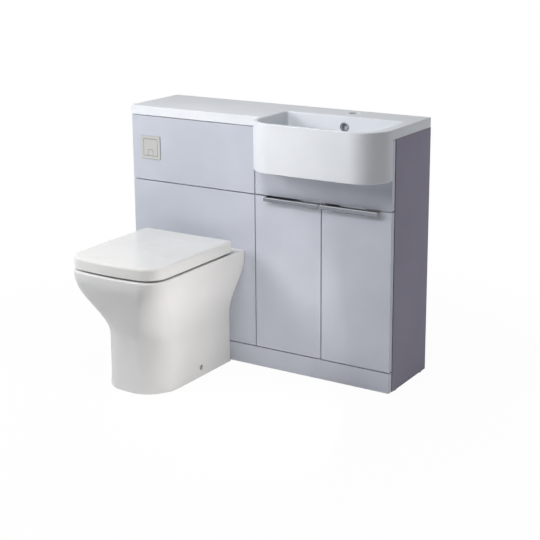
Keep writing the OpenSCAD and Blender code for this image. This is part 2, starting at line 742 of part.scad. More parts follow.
// Cage that stands on the tank's floor, with a hollow tail through it
module flush_valve() color("royalblue") at_wall() at(valve_x, valve_y, 0) {
  tube_z([0, 0, tank_z - valve_tail_l], valve_tail_r, valve_bore_r, valve_tail_l + tank_wall + 4);
  tube_z([0, 0, valve_base], cage_r, valve_bore_r, cage_base_t);
  for (a = [45:90:315]) rotate(a)
    board([cage_r - 2 - cage_leg, -cage_leg / 2, valve_base + cage_base_t - 1],
      [cage_r - 2, cage_leg / 2, cage_top + 1]);
  tube_z([0, 0, cage_top], cage_r, valve_bore_r - 1, cage_ring_t);
}
// Lifting overflow tube with its seal, which the buttons raise
seal_r = 23;
seal_t = 5;
seal_z = valve_base + cage_base_t + 0.2;
lifter_r = 12;
lifter_wall = 2.5;
lifter_top = cage_top + cage_ring_t + 13.2;
module flush_lifter() color("orangered") at_wall() at(valve_x, valve_y, 0) difference() {
  union() {
    bar_z([0, 0, seal_z], seal_r, seal_t);
    bar_z([0, 0, seal_z + seal_t], lifter_r, lifter_top - seal_z - seal_t);
  }
  bar_z([0, 0, valve_base], lifter_r - lifter_wall, tank_h);
}
float_r = 26;
float_h = 60;
float_stop = 10;
head_r = 22;
head_h = 30;
head_z = cage_top + 12;
// Bottom-entry fill valve: inlet tail, standing column and head
module fill_valve() color("whitesmoke") at_wall() at(inlet_x, valve_y, 0) {
  bar_z([0, 0, tank_z - inlet_l], inlet_r, inlet_l - inlet_thread_l);
  bar_z([0, 0, tank_z - inlet_thread_l], thread_r, inlet_thread_l + tank_wall);
  bar_z([0, 0, valve_base], inlet_flange_r, inlet_flange_t);
  bar_z([0, 0, valve_base + inlet_flange_t], column_r, head_z - valve_base - inlet_flange_t);
  bar_z([0, 0, water_z - float_stop], column_r + 4, float_stop - 0.2);
  bar_z([0, 0, head_z], head_r, head_h);
}
// Cup float that slides on the column
module fill_float() color("lightgray") at_wall()
  tube_z([inlet_x, valve_y, water_z], float_r, column_r + 0.3, float_h);

tank_nut_r = 32;
tank_nut_t = 12;
inlet_nut_r = 17;
pipe_nut_r = 29;
pipe_nut_l = 20;
module tank_nut() color("dimgray") at_wall() {
  tube_z([valve_x, valve_y, tank_z - tank_nut_t], tank_nut_r, valve_tail_r, tank_nut_t);
  tube_z([inlet_x, valve_y, tank_z - inlet_thread_l], inlet_nut_r, thread_r, inlet_thread_l);
  tube_z([valve_x, valve_y, tank_z - tank_nut_t - pipe_nut_l], pipe_nut_r, flush_pipe_r, pipe_nut_l);
}

// Pipe down from the cistern, round one bend and forward into the pan
module pipe_run(r, past) {
  at(valve_x, valve_y, inlet_z + pipe_bend) {
    bar_z([0, 0, 0], r, tank_z - valve_tail_l + past - inlet_z - pipe_bend);
    translate([0, -pipe_bend, 0]) rotate([-90, 0, 90])
      rotate_extrude(angle = 90, $fn = 64) translate([pipe_bend, 0]) circle(r, $fn = 48);
    bar_y([0, pipe_end - past - valve_y, -pipe_bend], r, valve_y - pipe_bend - pipe_end + past);
  }
}
flush_pipe_wall = 3;
module flush_pipe() color("whitesmoke") at_wall() difference() {
  pipe_run(flush_pipe_r, 0);
  pipe_run(flush_pipe_r - flush_pipe_wall, 1);
}

// Rubber cone round the flush pipe, pressed into the pan's inlet
horn_r = flush_pipe_r + 5.5;
module flush_cone() color("black") at_wall() translate([pan_x, front_y + 6, inlet_z]) rotate([90, 0, 0])
  rotate_extrude($fn = 64) polygon([[flush_pipe_r, 0], [horn_r + 0.3, 0], [horn_r + 0.3, 5.5],
    [horn_r - 0.1, 6], [horn_r - 0.1, 12], [horn_r - 2, 14], [horn_r - 0.1, 20], [horn_r - 2, 22],
    [horn_r - 0.1, 28], [flush_pipe_r + 1, 34], [flush_pipe_r, 34]]);

// Soil pipe from the pan's spigot to the wall, with a rubber socket over the spigot
spigot_r = soil_r - 4;
module pan_connector() color("whitesmoke") at_wall() translate([pan_x, 0, soil_z]) rotate([90, 0, 0])
  rotate_extrude($fn = 96) polygon([[soil_r - 4, 0], [soil_r, 0], [soil_r, -front_y - 22],
    [soil_r + 5, -front_y - 12], [soil_r + 5, -front_y + 34], [spigot_r + 0.2, -front_y + 34],
    [spigot_r + 0.2, -front_y - 6], [soil_r - 4, -front_y - 12]]);

// Air hoses from the two buttons' guides to the cistern's lid
hose_r = 3.5;
hose_xs = [valve_x - 10, valve_x + 10];
hose_steps = 5;
function curve(p, i, t) = let (a = p[max(0, i - 1)], b = p[i], c = p[i + 1], d = p[min(len(p) - 1, i + 2)])
  0.5 * (2 * b + (c - a) * t + (2 * a - 5 * b + 4 * c - d) * t * t + (3 * b - a - 3 * c + d) * pow(t, 3));
function unit(v) = v / norm(v);
module hose(points) {
  path = concat([for (i = [0:len(points) - 2], k = [0:hose_steps - 1]) curve(points, i, k / hose_steps)],
    [points[len(points) - 1]]);
  last = len(path) - 1;
  loft([for (i = [0:last]) let (
    d = i == 0 ? [0, 1, 0] : i == last ? [0, 0, -1] : unit(path[i + 1] - path[i - 1]),
    u = unit(cross(d, [1, -1, 0])), v = cross(d, u))
    [for (a = [0:45:315]) path[i] + hose_r * (cos(a) * u + sin(a) * v)]]);
}
module flush_hoses() color("gray") at_wall() for (k = [0, 1]) {
  z = [half_z, press_z][k];
  x = hose_xs[k];
  over = lid_edge_z + 22 + 10 * k;
  hose([[plate_cx, housing_back + guide_out, z], [plate_cx + 4, housing_back + 28, z + 3],
    [mix(plate_cx, x, 0.15), tank_y - 24, mix(z, over, 0.5)],
    [mix(plate_cx, x, 0.4), tank_y - 10, over], [mix(plate_cx, x, 0.7), mix(tank_y, valve_y, 0.6), over + 4],
    [x - 14, valve_y - 2, over + 2], [x, valve_y, lid_edge_z + 16 + 4 * k],
    [x, valve_y, lid_edge_z + stub_l]]);
}

// ---- Pan: one glazed shell, lofted through rings ----

rim_section = [rim_w / 2, rim_back_w / 2, front_y, rim_front + pan_bow, 3, rim_corner_r, pan_bow];
foot_section = [foot_w / 2, foot_back_w / 2, front_y, rim_front + pan_bow + foot_setback,
  3, foot_corner_r, pan_bow];
foot_toe = 2.5;
rim_edge = 7;
trap_out = 100;
trap_y = front_y - trap_out;
sump_z = 150;
bowl_lip = 48;
// Outside of the skirt at a height: a foot that spreads a little on the floor, and the flare above
function skirt(z) = let (part = ease((z - waist_z) / (shoulder_z - waist_z)))
  inset_front(mix(foot_section, rim_section, part), -foot_toe * pow(max(0, 1 - z / 60), 2));
mouth = [rim_w / 2 - 56, rim_back_w / 2 - 64, front_y - 120, rim_front + pan_bow + bowl_lip, 58, 92, 4];
sump = [50, 50, front_y - 152, front_y - 280, 40, 46, 0];
throat_z = rim_z - 52;
// Inside of the bowl: an upright wall under the rim, then a sweep down to the sump
function bowl(z) = mix(mouth, sump, 1 - cos(90 * min(1, max(0, (throat_z - z) / (throat_z - sump_z)))));
function under(z) = let (s = inset(bowl(z), -pan_wall)) [s[0], s[1], trap_y, s[3], 3, s[5], s[6]];
function steps(a, b, n) = [for (i = [0:n]) mix(a, b, i / n)];
horn_wall = 7;
deck_z = inlet_z + horn_r + horn_wall + 0.5;
pan_rings = concat(
  [for (z = steps(sump_z - 12, deck_z, 7)) ring(under(z), z)],
  [for (z = steps(deck_z, 0, 9)) ring(inset(skirt(z), pan_wall), z)],
  [for (z = [0, 15, 35, 60, 110]) ring(skirt(z), z)],
  [for (z = steps(waist_z, rim_z - rim_edge, 11)) ring(skirt(z), z)],
  [for (a = [30:30:90])
    ring(inset_front(skirt(rim_z), rim_edge * (1 - cos(a))), rim_z - rim_edge * (1 - sin(a)))],
  [for (a = [90:-30:0]) ring(inset(mouth, rim_edge * (cos(a) - 1)), rim_z - rim_edge * (1 - sin(a)))],
  [for (z = steps(throat_z, sump_z, 9)) ring(bowl(z), z)]);

fixing_out = 170;
fixing_y = front_y - fixing_out;
fixing_z = 30;
fixing_r = 8.5;
post_xs = [pan_x - hinge_span / 2, pan_x + hinge_span / 2];

module pan() color("white") at_wall() difference() {
  at(pan_x, 0, 0) loft(pan_rings);
  // The shell is open behind, where the pipes come in
  board([pan_x - foot_w / 2 + 22, front_y - pan_wall - 4, -1],
    [pan_x + foot_w / 2 - 22, front_y + 1, deck_z]);
  for (x = post_xs) bar_z([x, hinge_y, deck_z - 1], 7, 60);
  bar_x([pan_x - rim_w / 2, fixing_y, fixing_z], fixing_r, rim_w);
}

spigot_wall = 8;
// The outlet and the inlet are moulded on the flat back of the trapway, and are drawn by themselves
module pan_spigot() color("white") at_wall() difference() {
  bar_y([pan_x, trap_y, soil_z], spigot_r, front_y - trap_y);
  bar_y([pan_x, trap_y + 8, soil_z], spigot_r - spigot_wall, front_y - trap_y);
}
module pan_horn() color("white") at_wall() difference() {
  bar_y([pan_x, trap_y, inlet_z], horn_r + horn_wall, front_y - trap_y);
  bar_y([pan_x, trap_y + 30, inlet_z], horn_r, front_y - trap_y);
}

// Angle blocks that are screwed to the floor inside the skirt
block_in = 12;
block_l = 30;
block_w = 44;
block_h = 50;
block_t = 8;
block_foot = 6;
module floor_fixings() color("whitesmoke") at_wall() for (s = [-1, 1]) at(pan_x, fixing_y, 0) {
  x = s * (foot_w / 2 - pan_wall - block_in);
  board([min(x, x - s * block_l), -block_w / 2, 0], [max(x, x - s * block_l), block_w / 2, block_foot]);
  board([min(x, x + s * block_t), -block_w / 2, 0], [max(x, x + s * block_t), block_w / 2, block_h]);
}
// Caps in the skirt's two side holes
module side_caps() color("silver") at_wall() for (s = [0, 1]) translate([pan_x, fixing_y, fixing_z])
  mirror([s, 0, 0]) translate([foot_w / 2 - pan_wall + 2, 0, 0]) rotate([0, 90, 0])
    cylinder(r = fixing_r - 0.1, h = pan_wall - 2, $fn = 48);

// ---- Seat ----

lid_section = [lid_w / 2, lid_back_w / 2, lid_rear, rim_front + lid_bow + 2, 10, 60, lid_bow];
ring_top = lid_z - 1 + seat_t;
post_w = 14;
post_r = 9;
stud_r = 5.5;
stud_out = 20;
washer_r = 15;
washer_t = 2;
lug_w = 10;
lug_r = 8;
pin_out = 1 + lug_w;

module seat_posts() color("silver") at_wall() for (x = post_xs) {
  bar_z([x, hinge_y, deck_z - stud_out], stud_r, rim_z - deck_z + stud_out + 1);
  bar_z([x, hinge_y, rim_z], washer_r, washer_t);
  intersection() {
    board([x - post_w / 2, hinge_y - post_r, rim_z + 1],
      [x + post_w / 2, hinge_y + post_r, hinge_z + post_r]);
    union() {
      bar_x([x - post_w / 2, hinge_y, hinge_z], post_r, post_w);
      board([x - post_w / 2, hinge_y - post_r, rim_z + 1], [x + post_w / 2, hinge_y + post_r, hinge_z]);
    }
  }
  bar_x([x - post_w / 2 - pin_out, hinge_y, hinge_z], pin_r, post_w + 2 * pin_out);
}

// Eye round a hinge pin, joined to a block that reaches forward or up to its parent
module lug(x) bar_x([x, hinge_y, hinge_z], lug_r, lug_w);
inner_lugs = [post_xs[0] + post_w / 2 + 0.5, post_xs[1] - post_w / 2 - 0.5 - lug_w];
outer_lugs = [post_xs[0] - post_w / 2 - 0.5 - lug_w, post_xs[1] + post_w / 2 + 0.5];

ring_lap = 9;
ring_side = 72;
ring_front = 68;
ring_out = [lid_w / 2 - ring_lap, lid_back_w / 2 - ring_lap, hinge_y - 14, lid_section[3] + ring_lap,
  34, 54, lid_bow];
ring_in = [lid_w / 2 - ring_side, lid_back_w / 2 - ring_side - 4, front_y - 142,
  lid_section[3] + ring_front, 70, 92, 6];
seat_z = lid_z - 1;
ring_rings = concat(
  [ring(ring_out, seat_z)],
  [for (a = [0:22.5:90]) ring(inset(ring_out, 7 * (1 - cos(a))), ring_top - 7 * (1 - sin(a)))],
  [ring(mix(inset(ring_out, 7), inset(ring_in, -12), 0.6), ring_top - 1)],
  [for (a = [90:-22.5:0])
    ring(inset(ring_in, 12 * (cos(a) - 1)), ring_top - 3 - (seat_t - 5) * (1 - sin(a)))],
  [ring(ring_in, seat_z)]);

module seat_ring() color("white") at_wall() difference() {
  union() {
    at(pan_x, 0, 0) loft(ring_rings, closed = true);
    for (x = inner_lugs) {
      lug(x);
      board([x, hinge_y - 20, seat_z + 2], [x + lug_w, hinge_y, hinge_z]);
    }
  }
  for (x = inner_lugs) bar_x([x - 1, hinge_y, hinge_z], pin_r + running, lug_w + 2);
}
buffer_r = 8;
buffer_in = 36;
buffer_back = 40;
buffer_front = 60;
module seat_buffers() color("whitesmoke") at_wall()
  for (x = [-1, 1], y = [ring_out[2] - buffer_back, ring_out[3] + buffer_front])
    bar_z([pan_x + x * (lid_w / 2 - buffer_in), y, rim_z + 0.2], buffer_r, seat_z - rim_z - 0.2);

lid_edge = 9;
roof_z = lid_top - lid_t;
lid_rings = concat(
  [ring(inset(lid_section, 40), roof_z), ring(inset(lid_section, 14), roof_z - 1)],
  [ring(inset(lid_section, lid_t + 2), roof_z - 7)],
  [ring(inset(lid_section, lid_t), lid_z), ring(lid_section, lid_z)],
  [for (a = [0:18:90])
    ring(inset(lid_section, lid_edge * (1 - cos(a))), lid_top - 1 - lid_edge * (1 - sin(a)))],
  [ring(inset(lid_section, 45), lid_top - 0.2), ring(inset(lid_section, 95), lid_top)]);

module lid() color("white") at_wall() difference() {
  union() {
    at(pan_x, 0, 0) loft(lid_rings);
    for (x = outer_lugs) {
      lug(x);
      board([x, hinge_y - lug_r, hinge_z], [x + lug_w, hinge_y + lug_r, roof_z + 1]);
    }
  }
  for (x = outer_lugs) bar_x([x - 1, hinge_y, hinge_z], pin_r + running, lug_w + 2);
  // The back wall stops short of the rim, so that it clears it as the lid turns
  board([pan_x - lid_back_w, hinge_y + lug_r, lid_z - 1], [pan_x + lid_back_w, lid_rear + 1, lid_z + 6]);
  // Slots in the back edge that let the posts through as the lid opens
  for (x = post_xs) board([x - post_w / 2 - 1.5, hinge_y + 5, lid_z - 1],
    [x + post_w / 2 + 1.5, lid_rear + 1, hinge_z + 14]);
}

wc_side_left();
wc_side_right();
wc_rails();
upper_panel();
lower_panel();
vanity_side_left();
vanity_side_right();
vanity_rails();
vanity_base();
shelf();
shelf_pegs();
fascia();
plinth();
front_pads();
glides();
joining_bolts();
wall_brackets();
basin_worktop();
overflow_ring();
waste_body();
waste_nut();
waste_plug();
trap_nut();
bottle_trap();
trap_cup();
waste_pipe();
door_left();
door_right();
handle_left();
handle_right();
hinge_cups_left();
hinge_cups_right();
hinge_arms_left();
hinge_arms_right();
flush_plate();
button_housing();
full_button();
half_button();
flush_hoses();
cistern_tank();
cistern_lid();
flush_valve();
flush_lifter();
fill_valve();
fill_float();
tank_nut();
flush_pipe();
flush_cone();
pan_connector();
pan();
pan_spigot();
pan_horn();
floor_fixings();
side_caps();
seat_posts();
seat_ring();
seat_buffers();
lid();
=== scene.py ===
# Toilet and basin combination unit: its finishes and fine shapes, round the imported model.
# The sections follow the unit as it is put together, from the boards to the seat.
# Sizes are in metres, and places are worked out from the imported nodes.
import json
import math
from contextlib import contextmanager

import bmesh
import bpy
import numpy as np
from mathutils import Matrix, Vector

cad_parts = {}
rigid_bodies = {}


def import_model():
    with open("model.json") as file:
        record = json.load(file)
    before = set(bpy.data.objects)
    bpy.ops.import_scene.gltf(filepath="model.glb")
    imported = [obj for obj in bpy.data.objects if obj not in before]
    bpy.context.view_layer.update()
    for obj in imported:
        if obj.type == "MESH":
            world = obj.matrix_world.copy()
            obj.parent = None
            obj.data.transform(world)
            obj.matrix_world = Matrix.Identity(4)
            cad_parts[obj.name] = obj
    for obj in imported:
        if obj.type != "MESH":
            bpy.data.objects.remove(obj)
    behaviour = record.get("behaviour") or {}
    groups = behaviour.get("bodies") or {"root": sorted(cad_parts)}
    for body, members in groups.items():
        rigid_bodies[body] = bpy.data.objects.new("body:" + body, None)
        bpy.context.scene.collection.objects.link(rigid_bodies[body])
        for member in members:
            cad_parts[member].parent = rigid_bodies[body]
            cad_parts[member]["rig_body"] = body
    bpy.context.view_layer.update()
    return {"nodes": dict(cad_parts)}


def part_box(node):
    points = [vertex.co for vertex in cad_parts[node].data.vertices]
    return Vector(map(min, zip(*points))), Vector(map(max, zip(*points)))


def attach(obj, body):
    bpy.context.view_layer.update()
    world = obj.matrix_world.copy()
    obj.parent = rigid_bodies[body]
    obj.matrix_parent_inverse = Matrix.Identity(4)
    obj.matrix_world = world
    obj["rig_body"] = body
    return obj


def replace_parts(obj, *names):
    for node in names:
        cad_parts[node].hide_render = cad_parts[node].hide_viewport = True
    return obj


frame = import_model()
MM = 0.001


# ---- Boards of the two cabinets ----
# Chipboard 18 mm thick, faced with matt melamine foil. The front edges are banded in the
# same foil, and the edges that nobody sees stay raw. Dowels and cam locks, hidden in the
# joints, hold the real boards together.

def linear(shade):
    """An sRGB hex colour as the linear colour that a shader takes."""
    parts = [int(shade[i:i + 2], 16) / 255 for i in (1, 3, 5)]
    return (*[p / 12.92 if p <= 0.04045 else ((p + 0.055) / 1.055) ** 2.4 for p in parts], 1)


def add(tree, kind, inputs=None, **settings):
    """A node with its settings. An input takes a value, a socket, or a node's first output."""
    node = tree.nodes.new(kind)
    for key, value in settings.items():
        setattr(node, key, value)
    for key, value in (inputs or {}).items():
        if isinstance(value, bpy.types.Node):
            value = value.outputs[0]
        if isinstance(value, bpy.types.NodeSocket):
            tree.links.new(value, node.inputs[key])
        else:
            node.inputs[key].default_value = value
    return node


def finish(name, shade, roughness, *layers, **sockets):
    """A material with one Principled shader, and layers of marks on it."""
    material = bpy.data.materials.new(name)
    material.use_nodes = True
    tree = material.node_tree
    tree.nodes.clear()
    shader = add(tree, "ShaderNodeBsdfPrincipled", {"Base Color": linear(shade), "Roughness": roughness})
    for key, value in sockets.items():
        shader.inputs[key.replace("_", " ")].default_value = value
    add(tree, "ShaderNodeOutputMaterial", {"Surface": shader})
    for marks in layers:
        layer(tree, shader, **marks)
    return material


def layer(tree, shader, size, colours=None, dullness=None, depth=0, detail=2.0, stretch=(1, 1, 1)):
    """Marks of a real size, read from the piece's own place. They vary its colour between two
    hex values, vary its roughness between two levels, or stand proud by a real depth."""
    place = add(tree, "ShaderNodeTexCoord").outputs["Object"]
    scaled = add(tree, "ShaderNodeMapping", {"Vector": place, "Scale": stretch})
    marks = add(tree, "ShaderNodeTexNoise", {"Vector": scaled, "Scale": 1 / size, "Detail": detail})
    low, high = 0.35, 0.65  # nearly all of the noise lies between these
    if colours:
        ramp = add(tree, "ShaderNodeValToRGB", {"Fac": marks})
        for stop, at, shade in zip(ramp.color_ramp.elements, (low, high), colours):
            stop.position, stop.color = at, linear(shade)
        tree.links.new(ramp.outputs["Color"], shader.inputs["Base Color"])
    if dullness:
        level = add(tree, "ShaderNodeMapRange", {
            "Value": marks, "From Min": low, "From Max": high, "To Min": dullness[0], "To Max": dullness[1]})
        tree.links.new(level.outputs[0], shader.inputs["Roughness"])
    if depth:
        bump = add(tree, "ShaderNodeBump", {"Height": marks, "Distance": depth, "Strength": 1.0})
        tree.links.new(bump.outputs[0], shader.inputs["Normal"])


# Melamine foil, printed plain and pressed with a fine pearl: dull, with a soft even sheen. Its dark
# violet grey is partly painted shade: the boards are taken darker than the fronts, as the end panel
# looks in the shade. The pearl is about 0.4 mm on the real foil, and is drawn 1.2 mm so that it shows.
SHADE_DARKENED_FOIL = finish("melamine_foil_grey_with_painted_shade", "#8B8799", 0.55,
              dict(size=90 * MM, colours=("#898597", "#8D899B")),
              dict(size=1.2 * MM, depth=0.012 * MM, detail=1.0), Specular_IOR_Level=0.25)


def chipboard():
    # Raw three-layer chipboard: pressed wood chips 1 to 4 mm long in tan and brown, quite dull
    material = finish("raw_chipboard_edge", "#B79A70", 0.9)
    tree = material.node_tree
    shader = tree.nodes["Principled BSDF"]
    place = add(tree, "ShaderNodeTexCoord").outputs["Object"]
    chip = 2.6 * MM
    chips = add(tree, "ShaderNodeTexVoronoi", {"Vector": place, "Scale": 1 / chip})
    ramp = add(tree, "ShaderNodeValToRGB", {"Fac": chips.outputs["Color"]})
    for stop, shade in zip(ramp.color_ramp.elements, ("#8E7048", "#CDB48A")):
        stop.color = linear(shade)
    bump = add(tree, "ShaderNodeBump", {"Height": chips.outputs["Distance"], "Distance": 0.25 * MM})
    tree.links.new(ramp.outputs["Color"], shader.inputs["Base Color"])
    tree.links.new(bump.outputs["Normal"], shader.inputs["Normal"])
    return material


def merged(node, gap=0.004 * MM, flat=math.radians(0.4)):
    """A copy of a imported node's mesh, with its loose triangles joined to whole faces."""
    mesh = bmesh.new()
    mesh.from_mesh(frame["nodes"][node].data)
    bmesh.ops.remove_doubles(mesh, verts=mesh.verts, dist=gap)
    bmesh.ops.dissolve_limit(mesh, angle_limit=flat, verts=mesh.verts, edges=mesh.edges)
    return mesh


def as_object(mesh, name, *materials):
    """An object at the origin from a bmesh or a mesh."""
    if isinstance(mesh, bmesh.types.BMesh):
        data = bpy.data.meshes.new(name)
        mesh.to_mesh(data)
        mesh.free()
        mesh = data
    piece = bpy.data.objects.new(name, mesh)
    bpy.context.scene.collection.objects.link(piece)
    for material in materials:
        mesh.materials.append(material)
    return piece


CREASE = math.radians(38)


def settle(piece):
    """The piece with its modifiers made into a plain mesh."""
    bpy.context.view_layer.update()
    ready = piece.evaluated_get(bpy.context.evaluated_depsgraph_get())
    mesh = bpy.data.meshes.new_from_object(ready)
    piece.modifiers.clear()
    old, piece.data = piece.data, mesh
    bpy.data.meshes.remove(old)
    return piece


def smooth(piece):
    """Smooth shading that keeps creases sharp and flat faces flat."""
    piece.data.shade_smooth()
    piece.data.set_sharp_from_angle(angle=CREASE)
    normals = piece.modifiers.new("flat_faces", "WEIGHTED_NORMAL")
    normals.keep_sharp = True
    return settle(piece)


def soften(piece, radius, steps=2):
    """Rounds every edge sharper than a crease, as moulding, sanding or pressing does."""
    bevel = piece.modifiers.new("edges", "BEVEL")
    bevel.width, bevel.segments = radius, steps
    bevel.limit_method, bevel.angle_limit = "ANGLE", CREASE
    bevel.miter_outer = "MITER_ARC"
    return settle(piece)


def fix(piece, *nodes):
    """The piece takes the place and the body of the nodes that it stands for."""
    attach(smooth(piece), frame["nodes"][nodes[0]]["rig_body"])
    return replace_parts(piece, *nodes)


def rounded(node, name, radius, *materials, steps=2):
    """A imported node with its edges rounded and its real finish."""
    return fix(soften(as_object(merged(node), name, *materials), radius, steps), node)


CHIP = chipboard()


def board_group(node, name, mostly=0.7):
    """Boards with foil on their faces and front edges, and raw chipboard on the other edges. A
    face looks along an axis if its normal lies mostly along that."""
    mesh = merged(node)
    parts, waiting = [], set(mesh.faces)
    while waiting:
        part, edge = set(), [waiting.pop()]
        while edge:
            face = edge.pop()
            part.add(face)
            near = {f for e in face.edges for f in e.link_faces if f in waiting}
            waiting -= near
            edge += near
        parts.append(part)
    for part in parts:
        points = [v.co for face in part for v in face.verts]
        spans = [max(p[i] for p in points) - min(p[i] for p in points) for i in range(3)]
        thin = spans.index(min(spans))
        for face in part:
            raw = abs(face.normal[thin]) < mostly and face.normal.y > -mostly
            face.material_index = 1 if raw else 0
    return fix(soften(as_object(mesh, name, SHADE_DARKENED_FOIL, CHIP), 0.4 * MM), node)


for node in ("wc_side_left", "wc_side_right", "wc_rails", "vanity_side_left", "vanity_side_right",
             "vanity_rails", "vanity_base", "shelf"):
    board_group(node, node + "_board")


# ---- Fasteners ----
# Zinc-plated steel: recessed pan-head screws, the bolts that tie the cabinets together, the
# angle brackets at the wall and the pegs under the shelf. Each screw stops at its own angle.

# Bright zinc plating over cold-rolled steel: grey, slightly blue, with soft cloudy spangle
ZINC = finish("bright_zinc_plate", "#B9BDC2", 0.34,
              dict(size=9 * MM, colours=("#A9AEB5", "#C6C9CC"), detail=3.0),
              dict(size=3 * MM, dullness=(0.28, 0.42)), Metallic=1.0)


def lathe(profile, steps=64):
    """A turned solid about Z from (radius, height) points, listed from the bottom up."""
    mesh = bmesh.new()
    points = [mesh.verts.new((r, 0, z)) for r, z in profile]
    chain = [mesh.edges.new(pair) for pair in zip(points, points[1:])]
    bmesh.ops.spin(mesh, geom=points + chain, angle=math.tau, steps=steps, axis=(0, 0, 1), cent=(0, 0, 0))
    bmesh.ops.remove_doubles(mesh, verts=mesh.verts, dist=0.001 * MM)
    bmesh.ops.holes_fill(mesh, edges=[e for e in mesh.edges if e.is_boundary], sides=0)
    bmesh.ops.recalc_face_normals(mesh, faces=mesh.faces)
    return mesh


def block(low, high):
    """A closed block between two corners, for cutting and joining."""
    mesh = bmesh.new()
    low, high = Vector(low), Vector(high)
    place = Matrix.Translation((low + high) / 2) @ Matrix.Diagonal((*(high - low), 1))
    bmesh.ops.create_cube(mesh, size=1, matrix=place)
    return mesh


def prism(outline, z0, z1):
    """An upright solid on an outline."""
    mesh = bmesh.new()
    base = mesh.faces.new([mesh.verts.new((x, y, z0)) for x, y in outline])
    raised = bmesh.ops.extrude_face_region(mesh, geom=[base])["geom"]
    top = [part for part in raised if isinstance(part, bmesh.types.BMVert)]
    bmesh.ops.translate(mesh, vec=(0, 0, z1 - z0), verts=top)
    bmesh.ops.recalc_face_normals(mesh, faces=mesh.faces)
    return mesh


@contextmanager
def editing(piece):
    """Opens the piece's mesh for an edit, and puts it back after."""
    mesh = bmesh.new()
    mesh.from_mesh(piece.data)
    yield mesh
    mesh.to_mesh(piece.data)
    mesh.free()


def combine(piece, operation, *tools, sliver=0.002 * MM):
    """Cuts the tools out of the piece, or joins them to it, and clears tools and slivers away.
    A tool is an object where it brings a finish, and otherwise a bmesh."""
    tools = [as_object(tool, "tool") if isinstance(tool, bmesh.types.BMesh) else tool for tool in tools]
    for tool in tools:
        step = piece.modifiers.new("combine", "BOOLEAN")
        step.operation, step.solver, step.object = operation, "EXACT", tool
        step.material_mode = "TRANSFER"
        tool.hide_render = True
    settle(piece)
    for tool in tools:
        bpy.data.objects.remove(tool)
    with editing(piece) as mesh:
        bmesh.ops.remove_doubles(mesh, verts=mesh.verts, dist=sliver)
        bmesh.ops.dissolve_degenerate(mesh, edges=mesh.edges, dist=sliver)
    return piece


def screw_head():
    """Pan head with a cross recess, 1 across and pointing up, for the fastener tree to scale."""
    head = as_object(lathe([(0.5, 0), (0.5, 0.1), (0.42, 0.24), (0.26, 0.32), (0.0, 0.34)], 20), "screw_head")
    arm, half = 0.26, 0.06
    corner = [Vector((arm, half, 0)), Vector((half, half, 0)), Vector((half, arm, 0))]
    cross = [(Matrix.Rotation(k * math.pi / 2, 3, "Z") @ point).xy for k in range(4) for point in corner]
    return combine(head, "DIFFERENCE", prism(cross, 0.12, 0.5))


def start_tree(name, **inputs):
    """A node tree whose inputs are given as name=kind, and the sockets of those inputs."""
    tree = bpy.data.node_groups.new(name, "GeometryNodeTree")
    for label, kind in inputs.items():
        tree.interface.new_socket(
            label.replace("_", " "), in_out="INPUT", socket_type="NodeSocket" + kind)
    tree.interface.new_socket("Made", in_out="OUTPUT", socket_type="NodeSocketGeometry")
    return tree, add(tree, "NodeGroupInput").outputs


def end_tree(tree, geometry, material):
    """Ends a node tree in real faces of one finish."""
    solid = add(tree, "GeometryNodeRealizeInstances", {"Geometry": geometry})
    painted = add(tree, "GeometryNodeSetMaterial", {"Geometry": solid, "Material": material})
    add(tree, "NodeGroupOutput", {"Made": painted})
    return tree


def fastener_tree():
    """Puts a copy of one small shape on each point, facing along the point's own axis."""
    tree, given = start_tree("fasteners", Points="Geometry", Shape="Object", Finish="Material",
                             Size="Float", Turn="Float", Seed="Int")
    axis = add(tree, "GeometryNodeInputNamedAttribute", {"Name": "axis"}, data_type="FLOAT_VECTOR")
    facing = add(tree, "FunctionNodeAlignRotationToVector", {"Vector": axis}, axis="Z")
    turn = add(tree, "FunctionNodeRandomValue", {"Seed": given["Seed"]}, data_type="FLOAT")
    angle = add(tree, "ShaderNodeMath", {0: turn.outputs[1], 1: given["Turn"]}, operation="MULTIPLY")
    spin = add(tree, "FunctionNodeAxisAngleToRotation", {"Axis": (0, 0, 1), "Angle": angle})
    pose = add(tree, "FunctionNodeRotateRotation", {"Rotation": facing, "Rotate By": spin},
               rotation_space="LOCAL")
    shape = add(tree, "GeometryNodeObjectInfo", {"Object": given["Shape"]}, transform_space="RELATIVE")
    copies = add(tree, "GeometryNodeInstanceOnPoints", {
        "Points": given["Points"], "Instance": shape.outputs["Geometry"], "Rotation": pose,
        "Scale": given["Size"]})
    return end_tree(tree, copies, given["Finish"])


def grow(piece, tree, **values):
    """Runs a node tree on the piece, with its inputs set by name, and keeps the plain mesh."""
    modifier = piece.modifiers.new(tree.name, "NODES")
    modifier.node_group = tree
    sockets = {item.name: item.identifier for item in tree.interface.items_tree
               if item.item_type == "SOCKET" and item.in_out == "INPUT"}
    for name, value in values.items():
        modifier[sockets[name.replace("_", " ")]] = value
    return settle(piece)


FASTENERS = fastener_tree()
HEAD = screw_head()
HEAD.hide_render = True


def screws(places, size, name, body, shape=HEAD, material=ZINC, turn=math.tau):
    """Fasteners of one size: places holds (point, axis) pairs."""
    mesh = bpy.data.meshes.new(name)
    mesh.from_pydata([point for point, _ in places], [], [])
    axes = mesh.attributes.new("axis", "FLOAT_VECTOR", "POINT")
    axes.data.foreach_set("vector", [c for _, axis in places for c in axis])
    piece = grow(as_object(mesh, name), FASTENERS, Shape=shape, Finish=material, Size=size, Turn=turn, Seed=4)
    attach(smooth(piece), body)
    return piece


rounded("joining_bolts", "joining_bolt_set", 0.5 * MM, ZINC)
low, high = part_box("joining_bolts")
flange_r, sunk = 8 * MM, 0.6 * MM
screws([((x - out * sunk, y, z), (out, 0, 0)) for x, out in ((low.x, -1), (high.x, 1))
        for y in (low.y + flange_r, high.y - flange_r) for z in (low.z + flange_r, high.z - flange_r)],
       13 * MM, "joining_bolt_heads", "unit")

